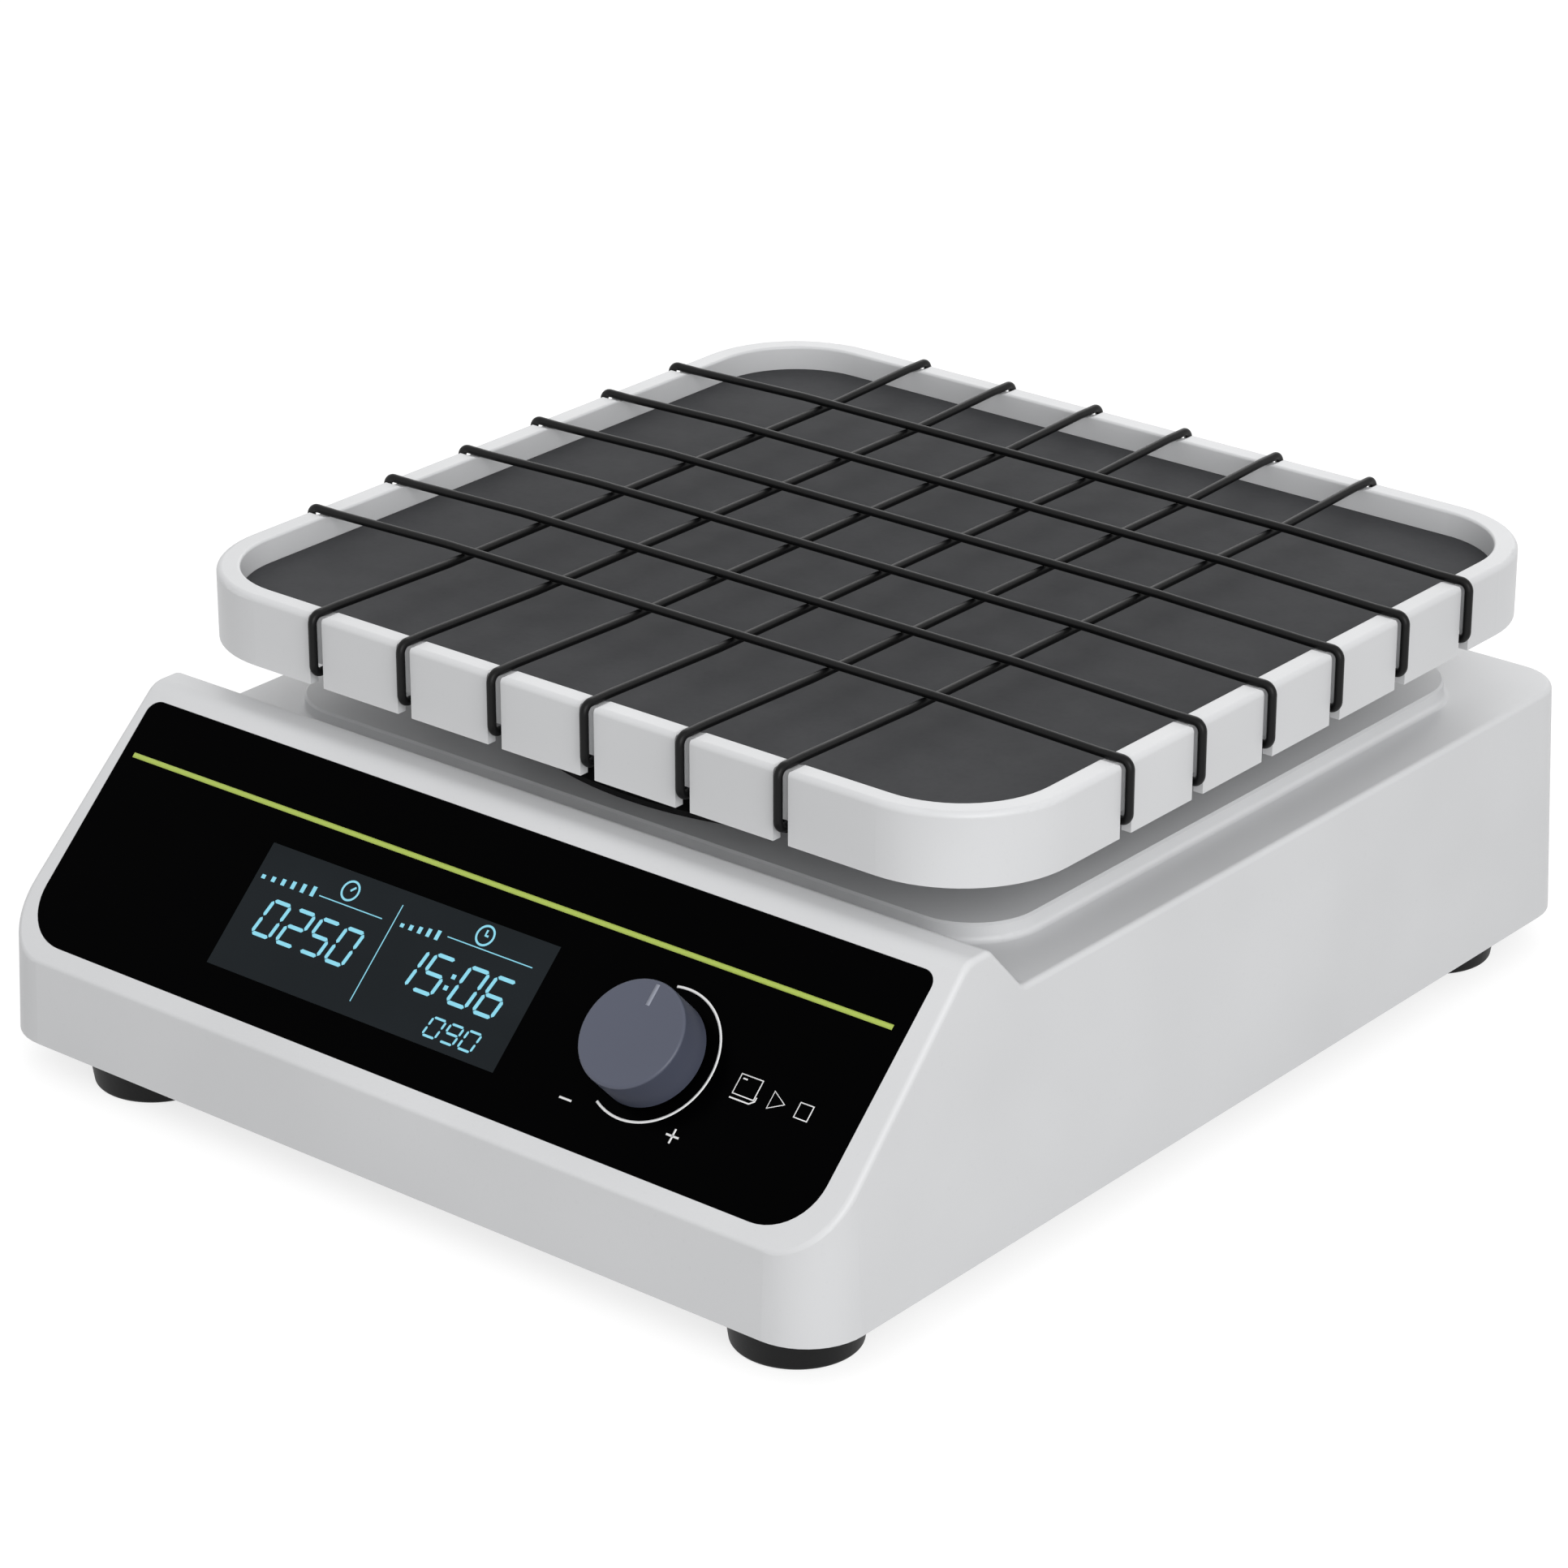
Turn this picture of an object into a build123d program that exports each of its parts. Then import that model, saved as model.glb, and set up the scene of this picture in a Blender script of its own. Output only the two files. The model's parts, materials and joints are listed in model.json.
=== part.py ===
from build123d import *
import math
import os

# A bench-top linear shaker, in millimetres. Z is up from the bench, X runs along the
# shaking direction to the right, and the control panel faces -Y.

# Housing
WIDTH = 360.0
DEPTH = 428.6
FOOT_HEIGHT = 12.5
WALL = 3.0
WALL_DRAFT = 2.4
CORNER_RADIUS = 22.0
EDGE_RADIUS = 2.0
DECK_RISE = 85.2
RIDGE_RISE = 103.0
RIDGE_FRONT_INSET = 77.9
RIDGE_WIDTH = 11.4
SCOOP_RUN = 16.0
RIDGE_FRONT_RADIUS = 9.0
RIDGE_BACK_RADIUS = 4.0
SCOOP_RADIUS = 6.0
SLOPE_ANGLE = 43.4
LEAST_UPWARD = 0.3
OVERRUN = 36.0

# Raised platform on the deck, and the hole under the tray
PLATEAU_SIDE_INSET = 25.5
PLATEAU_FRONT_GAP = 9.5
PLATEAU_REAR_INSET = 34.8
PLATEAU_RISE = 6.3
PLATEAU_RADIUS = 25.0
PLATEAU_CHAMFER = 0.8
PLATEAU_FOOT_RADIUS = 2.0
COLUMN_HOLE_RADIUS = 84.0

# Tray, its centre line and its mat
TRAY_WIDTH = 350.4
TRAY_DEPTH = 330.0
TRAY_FORWARD = 3.6
TRAY_RADIUS = 42.0
TRAY_BOTTOM = 129.5
TRAY_HEIGHT = 25.2
RIM_WIDTH = 8.2
SKIRT_WALL = 3.6
RECESS_DEPTH = 11.9
FLOOR_THICKNESS = 4.5
STEP_HEIGHT = 6.5
STEP_WIDTH = 14.0
RIM_OUTER_RADIUS = 2.0
RIM_INNER_RADIUS = 1.0
MAT_THICKNESS = 3.0
MAT_GAP = 0.3

# Cords round the tray
CORD_RADIUS = 1.5
CORD_COUNT = 6
CORD_PITCH_X = 40.0
CORD_PITCH_Y = 38.9
CORD_SHIFT_X = -4.5
CORD_SHIFT_Y = 5.0
CORD_STANDOUT = 1.2
CORD_GAP = 0.05
CORD_BEND = 3.2
CORD_EASE = 20.0
CROSS_LEAD = 8.0
NOTCH_WIDTH = 6.0
NOTCH_EXTRA = 0.1
SADDLE_DEPTH = 1.0
SADDLE_RADIUS = 8.0

# Control panel
PANEL_LEFT_INSET = 9.0
PANEL_RIGHT_INSET = 12.5
PANEL_LOW = 6.7
PANEL_HIGH_INSET = 6.2
PANEL_TOP_RADIUS = 5.0
PANEL_BOTTOM_RADIUS = 19.0
PANEL_THICKNESS = 0.5
PANEL_GAP = 0.15
WINDOW_CENTRE_X = -28.2
WINDOW_CENTRE_S = 43.7
WINDOW_WIDTH = 126.8
WINDOW_HEIGHT = 45.8
WINDOW_THICKNESS = 1.9
WINDOW_SINK = 0.1
WINDOW_GAP = 0.1
WINDOW_LEDGE = 2.5
MODULE_GAP = 0.5
MODULE_CLEAR = 0.3

# Knob and encoder
KNOB_X = 87.4
KNOB_S = 44.8
KNOB_RADIUS = 18.7
KNOB_HEIGHT = 14.6
KNOB_TRAVEL = 0.8
KNOB_LIFT = 1.2
KNOB_EDGE = 1.0
KNOB_WALL = 2.5
KNOB_HUB_RADIUS = 6.0
ENCODER_WIDTH = 13.0
ENCODER_DEPTH = 6.5
ENCODER_FLOOR = 1.0
PLUNGER_GAP = 0.05
BUSH_RADIUS = 4.5
BUSH_LENGTH = 7.0
NUT_RADIUS = 6.5
NUT_THICKNESS = 2.0
ENCODER_SHAFT_RADIUS = 3.0
SHAFT_FIT = 0.05

# Control board
BOARD_WIDTH = 216.0
BOARD_HEIGHT = 62.0
BOARD_THICKNESS = 1.6
BOARD_X = 0.0
BOARD_S = 44.0
BOARD_HOLE_INSET = 6.0
BOARD_BOSS_RADIUS = 3.5
BOARD_SCREW_RADIUS = 1.25
BOARD_SCREW_HEAD = 2.5
BOARD_SCREW_HEAD_HEIGHT = 2.0
BOARD_SCREW_DEPTH = 5.0

# Base pan, feet and their screws
PAN_THICKNESS = 3.0
PAN_GAP = 0.4
FOOT_RADIUS = 22.8
FOOT_BASE_RADIUS = 21.0
FOOT_LEFT_INSET = 52.0
FOOT_RIGHT_INSET = 29.0
FOOT_FRONT_INSET = 26.0
FOOT_REAR_INSET = 46.3
FOOT_SOCKET_RADIUS = 6.0
FOOT_SOCKET_DEPTH = 6.0
FOOT_EDGE = 1.5
FOOT_SCREW_RADIUS = 2.0
FOOT_SCREW_HEAD = 4.0
SCREW_HEAD_HEIGHT = 2.5
NUT_BOSS_RADIUS = 5.0
NUT_BOSS_HEIGHT = 6.0
SCREW_FIT = 0.1
SCREW_TIP_GAP = 1.0
HEAD_CHAMFER = 0.12
HEAD_SOCKET = 0.55
HEAD_SOCKET_DEPTH = 0.6
CASE_BOSS_RADIUS = 5.0
CASE_BOSS_INSET = 9.0
CASE_FRONT_INSET = 64.3
CASE_REAR_INSET = 80.0
CASE_SCREW_RADIUS = 2.0
CASE_SCREW_HEAD = 3.8
CASE_SCREW_LENGTH = 12.0
CASE_BOSS_HEIGHT = 24.0

# Rear connectors
POCKET_X = -82.0
POCKET_WIDTH = 128.0
POCKET_Z = 49.0
POCKET_HEIGHT = 40.0
POCKET_FLOOR = 4.8
POCKET_RADIUS = 4.0
INLET_OFFSET = -30.0
INLET_FLANGE_WIDTH = 50.0
INLET_FLANGE_HEIGHT = 24.0
INLET_FLANGE_THICKNESS = 2.0
INLET_BODY_WIDTH = 28.0
INLET_BODY_HEIGHT = 20.0
INLET_BODY_DEPTH = 22.0
INLET_SCREW_SPACING = 40.0
INLET_SCREW_RADIUS = 1.5
INLET_SCREW_HEAD = 2.8
INLET_SCREW_HEAD_HEIGHT = 1.4
INLET_SCREW_LENGTH = 8.0
SOCKET_WIDTH = 24.0
SOCKET_HEIGHT = 16.4
SOCKET_DEPTH = 17.0
SOCKET_CORNER = 5.0
PIN_WIDTH = 2.0
PIN_HEIGHT = 4.0
PIN_LENGTH = 15.0
PIN_SPACING = 7.0
EARTH_OFFSET = 4.0
SWITCH_OFFSET = 36.0
SWITCH_FRAME_WIDTH = 21.0
SWITCH_FRAME_HEIGHT = 28.0
SWITCH_BODY_WIDTH = 18.0
SWITCH_BODY_HEIGHT = 25.0
SWITCH_BODY_DEPTH = 18.0
ROCKER_WIDTH = 14.0
ROCKER_RADIUS = 10.4
ROCKER_FACE = 8.2
ROCKER_STANDOUT = 3.4
ROCKER_AXLE_RADIUS = 1.5
ROCKER_AXLE_LENGTH = 1.2
SWITCH_FRAME_THICKNESS = 1.5
SWITCH_FRAME_RADIUS = 1.0
ROCKER_GAP = 0.3
ROCKER_TILT = 7.0
CUTOUT_GAP = 0.3

# Guides and carriage
SHAFT_RADIUS = 6.0
SHAFT_Z = 72.0
SHAFT_SPACING = 110.0
BRACKET_X = 118.0
BRACKET_THICKNESS = 10.0
BRACKET_WIDTH = 140.0
BRACKET_TOP_MARGIN = 12.0
BRACKET_SCREW_SPACING = 90.0
RUN_FIT = 0.05
BLOCK_X = 60.0
BLOCK_LENGTH = 34.0
BLOCK_WIDTH = 30.0
BLOCK_DROP = 13.0
BLOCK_RISE = 15.0
BLOCK_ROOF = 2.0
CARRIAGE_THICKNESS = 6.0
CARRIAGE_WIDTH = 156.0
CARRIAGE_DEPTH = 144.0
POST_RADIUS = 8.0
POST_X = 50.0
POST_Y = 26.0
PLATE_THICKNESS = 6.0
PLATE_WIDTH = 240.0
PLATE_DEPTH = 230.0
PLATE_RADIUS = 20.0
PLATE_TOP = 129.0
MACHINE_SCREW_RADIUS = 2.5
MACHINE_SCREW_HEAD = 4.5
MACHINE_SCREW_LENGTH = 14.0
TRAY_BOSS_RADIUS = 8.0

# Crank, yoke and belt drive
THROW = 5.0
ROLLER_RADIUS = 8.0
ROLLER_HEIGHT = 8.0
PIN_RADIUS = 4.0
YOKE_WIDTH = 48.0
YOKE_DEPTH = 60.0
YOKE_HEIGHT = 12.0
YOKE_PLAY = 0.15
YOKE_END_GAP = 1.0
ROLLER_LIFT = 2.0
PIN_GAP = 0.5
YOKE_SCREW_X = 18.0
YOKE_SCREW_Y = 23.0
CRANK_RADIUS = 20.0
CRANK_THICKNESS = 6.0
CRANK_Z = 65.0
CRANK_SHAFT_RADIUS = 6.0
CRANK_END_GAP = 1.5
PULLEY_RATIO = 3.0
MOTOR_PULLEY_RADIUS = 12.0
PULLEY_Z = 53.0
PULLEY_HEIGHT = 10.0
PULLEY_FLANGE = 1.0
BELT_THICKNESS = 1.6
BELT_GAP = 0.3
BELT_SIDE_GAP = 0.3
HOUSING_TUBE_RADIUS = 18.0
HOUSING_FLANGE_RADIUS = 32.0
HOUSING_FLANGE_THICKNESS = 6.0
HOUSING_HOLE_OFFSET = 17.6
HOUSING_TOP = 51.0
MOTOR_DISTANCE = 108.0
MOTOR_RADIUS = 28.0
MOTOR_HEIGHT = 28.0
MOTOR_SHAFT_RADIUS = 4.0
MOTOR_WALL = 3.0
MOTOR_CHAMFER = 1.5
MOTOR_SHAFT_GAP = 1.0
MOTOR_PLATE = 70.0
MOTOR_PLATE_Z = 47.0
MOTOR_PLATE_THICKNESS = 3.0
MOTOR_LEG_RADIUS = 5.0
MOTOR_COLLAR_RADIUS = 9.0
MOTOR_HOLE_CIRCLE = 19.0

# Dust boot
BOOT_RADIUS = 127.0
BOOT_WALL = 3.0
BOOT_FLANGE = 2.0
BOOT_GAP = 0.5
BOOT_FOLD = 5.0
BOOT_FOLDS = 3

# Power supply
SUPPLY_WIDTH = 92.0
SUPPLY_DEPTH = 56.0
SUPPLY_X = -114.0
SUPPLY_Y = 139.0
SUPPLY_STANDOFF = 8.0
SUPPLY_HOLE_INSET = 5.0
CAPACITOR_RADIUS = 9.0
CAPACITOR_HEIGHT = 26.0
CAPACITOR_X = 18.4
CAPACITOR_Y = 9.5
TRANSFORMER_SIZE = 26.0
TRANSFORMER_HEIGHT = 20.0
TRANSFORMER_X = -18.4

# Levels and places that follow from the sizes above
BASE_Z = FOOT_HEIGHT
PAN_TOP = BASE_Z + PAN_THICKNESS
DECK_Z = BASE_Z + DECK_RISE
RIDGE_Z = BASE_Z + RIDGE_RISE
PLATEAU_Z = DECK_Z + PLATEAU_RISE
REACH = WIDTH + DEPTH
TOUCH = 0.01

DRAFT_RUN = math.tan(math.radians(WALL_DRAFT))
SLOPE_RISE = math.tan(math.radians(SLOPE_ANGLE))
RIDGE_FRONT_Y = RIDGE_FRONT_INSET - DEPTH / 2
RIDGE_BACK_Y = RIDGE_FRONT_Y + RIDGE_WIDTH
DECK_FRONT_Y = RIDGE_BACK_Y + SCOOP_RUN
# The fold is where the slope meets the drafted front wall
SLOPE_RUN = RIDGE_FRONT_INSET + DRAFT_RUN * BASE_Z
FOLD_Z = (RIDGE_Z - SLOPE_RISE * SLOPE_RUN) / (1 - SLOPE_RISE * DRAFT_RUN)
FOLD_Y = RIDGE_FRONT_Y - (RIDGE_Z - FOLD_Z) / SLOPE_RISE
SLOPE_LENGTH = (RIDGE_Z - FOLD_Z) / math.sin(math.radians(SLOPE_ANGLE))
PANEL_LEFT = PANEL_LEFT_INSET - WIDTH / 2
PANEL_RIGHT = WIDTH / 2 - PANEL_RIGHT_INSET
PANEL_HIGH = SLOPE_LENGTH - PANEL_HIGH_INSET
PANEL_NORMAL = Vector(0, -math.sin(math.radians(SLOPE_ANGLE)), math.cos(math.radians(SLOPE_ANGLE)))
PANEL = Plane(origin=(0, FOLD_Y, FOLD_Z), x_dir=(1, 0, 0), z_dir=PANEL_NORMAL)

PLATEAU_WIDTH = WIDTH - 2 * PLATEAU_SIDE_INSET
PLATEAU_FRONT_Y = DECK_FRONT_Y + PLATEAU_FRONT_GAP
PLATEAU_REAR_Y = DEPTH / 2 - PLATEAU_REAR_INSET
PLATEAU_DEPTH = PLATEAU_REAR_Y - PLATEAU_FRONT_Y
PLATEAU_Y = (PLATEAU_FRONT_Y + PLATEAU_REAR_Y) / 2
TRAY_Y = PLATEAU_Y - TRAY_FORWARD

FLOOR_TOP = TRAY_BOTTOM + TRAY_HEIGHT - RECESS_DEPTH
RIM_Z = TRAY_BOTTOM + TRAY_HEIGHT
STEP_Z = TRAY_BOTTOM + STEP_HEIGHT
FLOOR_BOTTOM = FLOOR_TOP - FLOOR_THICKNESS
PLATE_Z = PLATE_TOP - PLATE_THICKNESS
CORD_X = [CORD_SHIFT_X + (i - (CORD_COUNT - 1) / 2) * CORD_PITCH_X for i in range(CORD_COUNT)]
CORD_Y = [TRAY_Y + CORD_SHIFT_Y + (i - (CORD_COUNT - 1) / 2) * CORD_PITCH_Y for i in range(CORD_COUNT)]
RIM_CORD_Z = RIM_Z - SADDLE_DEPTH + CORD_RADIUS + CORD_GAP
LOWER_CORD_Z = STEP_Z - CORD_RADIUS - CORD_GAP - NOTCH_EXTRA
CROSS_OFFSET = CORD_RADIUS + CORD_GAP

CARRIAGE_Z = SHAFT_Z + BLOCK_RISE
CARRIAGE_TOP = CARRIAGE_Z + CARRIAGE_THICKNESS
MOTOR_Y = TRAY_Y - MOTOR_DISTANCE
# The slide follows the crank's angle evenly, so the slot gives way by the most that a sine strays from that
LAG_ANGLE = math.acos(2 / math.pi)
CRANK_LAG = THROW * (math.sin(LAG_ANGLE) - 2 * LAG_ANGLE / math.pi)
YOKE_SLOT = ROLLER_RADIUS + CRANK_LAG + YOKE_PLAY
CRANK_TOP = CRANK_Z + CRANK_THICKNESS
CRANK_PULLEY_RADIUS = MOTOR_PULLEY_RADIUS * PULLEY_RATIO
POCKET_Y = DEPTH / 2 - POCKET_FLOOR
INLET_X = POCKET_X + INLET_OFFSET
SWITCH_X = POCKET_X + SWITCH_OFFSET
BOARD_TOP = -WALL - ENCODER_DEPTH
PLUNGER_STOP = BOARD_TOP + ENCODER_FLOOR
SHAFT_FOOT = PLUNGER_STOP + 2 * KNOB_TRAVEL
FOOT_X = [FOOT_LEFT_INSET - WIDTH / 2, WIDTH / 2 - FOOT_RIGHT_INSET]
FOOT_Y = [FOOT_FRONT_INSET - DEPTH / 2, DEPTH / 2 - FOOT_REAR_INSET]
CASE_ROWS = [CASE_FRONT_INSET - DEPTH / 2, 0.0, DEPTH / 2 - CASE_REAR_INSET]


def block(width, depth, height, x=0.0, y=0.0, z=0.0):
    """A box that stands on the level z."""
    return Pos(x, y, z + height / 2) * Box(width, depth, height)


def rod(radius, height, x=0.0, y=0.0, z=0.0):
    """An upright cylinder that stands on the level z."""
    return Pos(x, y, z + height / 2) * Cylinder(radius, height)


def slab(width, depth, radius, height, x=0.0, y=0.0, z=0.0):
    """An upright block with rounded corners that stands on the level z."""
    return extrude(Pos(x, y, z) * RectangleRounded(width, depth, radius), amount=height)


def screw(radius, length, head_radius, head_height=SCREW_HEAD_HEIGHT):
    """A socket screw that stands head down on z = -head_height, its seat at z = 0."""
    head = rod(head_radius, head_height, z=-head_height)
    head = chamfer(head.faces().sort_by(Axis.Z)[0].edges(), head_radius * HEAD_CHAMFER)
    hexagon = Pos(0, 0, -head_height) * RegularPolygon(head_radius * HEAD_SOCKET, 6)
    socket = extrude(hexagon, amount=head_height * HEAD_SOCKET_DEPTH)
    return head + rod(radius, length) - socket


def screws_up(places, seat, radius, length, head_radius):
    """Screws driven upwards at the given places, seated on the level given."""
    return [Pos(x, y, seat) * screw(radius, length, head_radius) for x, y in places]


def screws_down(places, seat, radius, length, head_radius):
    """Screws driven downwards at the given places, seated on the level given."""
    return [Pos(x, y, seat) * Rot(180, 0, 0) * screw(radius, length, head_radius) for x, y in places]


def drill(places, radius, low, high):
    """Round holes between two levels at the given places."""
    return [rod(radius, high - low, x, y, low) for x, y in places]


def corners(x, y, centre_x=0.0, centre_y=0.0):
    """The four corners of a rectangle of half sizes x and y."""
    return [(centre_x + i * x, centre_y + j * y) for i in (-1, 1) for j in (-1, 1)]


FOOT_PLACES = [(x, y) for y in FOOT_Y for x in FOOT_X]
FOOT_NAMES = ["foot_front_left", "foot_front_right", "foot_rear_left", "foot_rear_right"]
CASE_PLACES = [(side * (WIDTH / 2 - CASE_BOSS_INSET), y) for y in CASE_ROWS for side in (-1, 1)]
BRACKET_PLACES = corners(BRACKET_X, BRACKET_SCREW_SPACING / 2, 0, TRAY_Y)
FLANGE_PLACES = corners(HOUSING_HOLE_OFFSET, HOUSING_HOLE_OFFSET, 0, TRAY_Y)
LEG_OFFSET = MOTOR_PLATE / 2 - MOTOR_LEG_RADIUS
LEG_PLACES = corners(LEG_OFFSET, LEG_OFFSET, 0, MOTOR_Y)
SUPPLY_HALF_X = SUPPLY_WIDTH / 2 - SUPPLY_HOLE_INSET
SUPPLY_HALF_Y = SUPPLY_DEPTH / 2 - SUPPLY_HOLE_INSET
SUPPLY_PLACES = corners(SUPPLY_HALF_X, SUPPLY_HALF_Y, SUPPLY_X, SUPPLY_Y)
POST_PLACES = corners(POST_X, POST_Y, 0, TRAY_Y)
YOKE_PLACES = corners(YOKE_SCREW_X, YOKE_SCREW_Y, 0, TRAY_Y)
BLOCK_PLACES = corners(BLOCK_X, SHAFT_SPACING / 2, 0, TRAY_Y)
# The tray's bosses stand midway between the two outermost cords on each side
TRAY_BOSS_X = [(CORD_X[0] + CORD_X[1]) / 2, (CORD_X[-2] + CORD_X[-1]) / 2]
TRAY_BOSS_Y = [(CORD_Y[0] + CORD_Y[1]) / 2, (CORD_Y[-2] + CORD_Y[-1]) / 2]
TRAY_BOSS_PLACES = [(x, y) for x in TRAY_BOSS_X for y in TRAY_BOSS_Y]
BOARD_HALF_X = BOARD_WIDTH / 2 - BOARD_HOLE_INSET
BOARD_HALF_S = BOARD_HEIGHT / 2 - BOARD_HOLE_INSET
BOARD_PLACES = corners(BOARD_HALF_X, BOARD_HALF_S, BOARD_X, BOARD_S)
MOTOR_HOLE_OFFSET = MOTOR_HOLE_CIRCLE * math.sqrt(0.5)
MOTOR_HOLE_PLACES = corners(MOTOR_HOLE_OFFSET, MOTOR_HOLE_OFFSET, 0, MOTOR_Y)


def side_profile(inset):
    """The housing's outline seen from the side, moved inwards by the inset."""
    low = BASE_Z - REACH
    front = FOLD_Y - OVERRUN
    points = [
        (front, low),
        (front, FOLD_Z - SLOPE_RISE * (FOLD_Y - front)),
        (RIDGE_FRONT_Y, RIDGE_Z),
        (RIDGE_BACK_Y, RIDGE_Z),
        (DECK_FRONT_Y, DECK_Z),
        (DEPTH, DECK_Z),
        (DEPTH, low),
    ]
    outline = make_face(Plane.YZ * Polyline(*points, close=True))
    rounds = [(RIDGE_FRONT_Y, RIDGE_Z, RIDGE_FRONT_RADIUS),
              (RIDGE_BACK_Y, RIDGE_Z, RIDGE_BACK_RADIUS),
              (DECK_FRONT_Y, DECK_Z, SCOOP_RADIUS)]
    for y, z, radius in rounds:
        corner = outline.vertices().sort_by_distance((0, y, z))[0]
        outline = fillet(corner, radius)
    if inset:
        outline = offset(outline, amount=-inset)
    return extrude(outline, amount=WIDTH, both=True)


def drafted_block(inset):
    """The housing's four drafted walls as one block, moved inwards by the inset."""
    foot = Pos(0, 0, BASE_Z) * RectangleRounded(WIDTH - 2 * inset, DEPTH - 2 * inset, CORNER_RADIUS - inset)
    return extrude(foot, amount=RIDGE_RISE + WALL, taper=WALL_DRAFT)


def rounded_shell():
    """The housing's outer body with its upper edges rounded."""
    body = drafted_block(0) & side_profile(0)
    upper = [face for face in body.faces() if face.normal_at(face.center()).Z > LEAST_UPWARD]
    seen = {}
    for face in upper:
        for edge in face.edges():
            key = tuple(round(value, 2) for value in edge.position_at(0.5))
            seen.setdefault(key, []).append(edge)
    border = [edges[0] for edges in seen.values() if len(edges) == 1]
    return fillet(border, EDGE_RADIUS)


def panel_outline(gap, thickness):
    """The control panel's sheet, grown all round by the gap, on the slope."""
    low, high = PANEL_LOW - gap, PANEL_HIGH + gap
    left, right = PANEL_LEFT - gap, PANEL_RIGHT + gap
    sheet = make_face(Polyline((left, low), (right, low), (right, high), (left, high), close=True))
    upper = [v for v in sheet.vertices() if v.Y > (low + high) / 2]
    sheet = fillet(upper, PANEL_TOP_RADIUS + gap)
    middle = (low + high) / 2
    lower = [v for v in sheet.vertices() if v.Y < middle]
    sheet = fillet(lower, PANEL_BOTTOM_RADIUS + gap)
    return PANEL * extrude(Pos(0, 0, -PANEL_THICKNESS) * sheet, amount=thickness)


def panel_box(width, height, low, high, x, s):
    """A rectangular block on the slope between two levels off its surface."""
    return PANEL * Pos(x, s, (low + high) / 2) * Box(width, height, high - low)


def panel_rod(radius, low, high, x, s):
    """A round block on the slope between two levels off its surface."""
    return PANEL * Pos(x, s, (low + high) / 2) * Cylinder(radius, high - low)


def rear_box(width, height, front, back, x, z):
    """A block through the rear wall between two distances along Y."""
    return Pos(x, (front + back) / 2, z) * Box(width, back - front, height)


def rear_rod(radius, front, back, x, z):
    """A round block through the rear wall between two distances along Y."""
    return Pos(x, (front + back) / 2, z) * Rot(90, 0, 0) * Cylinder(radius, back - front)


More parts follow.
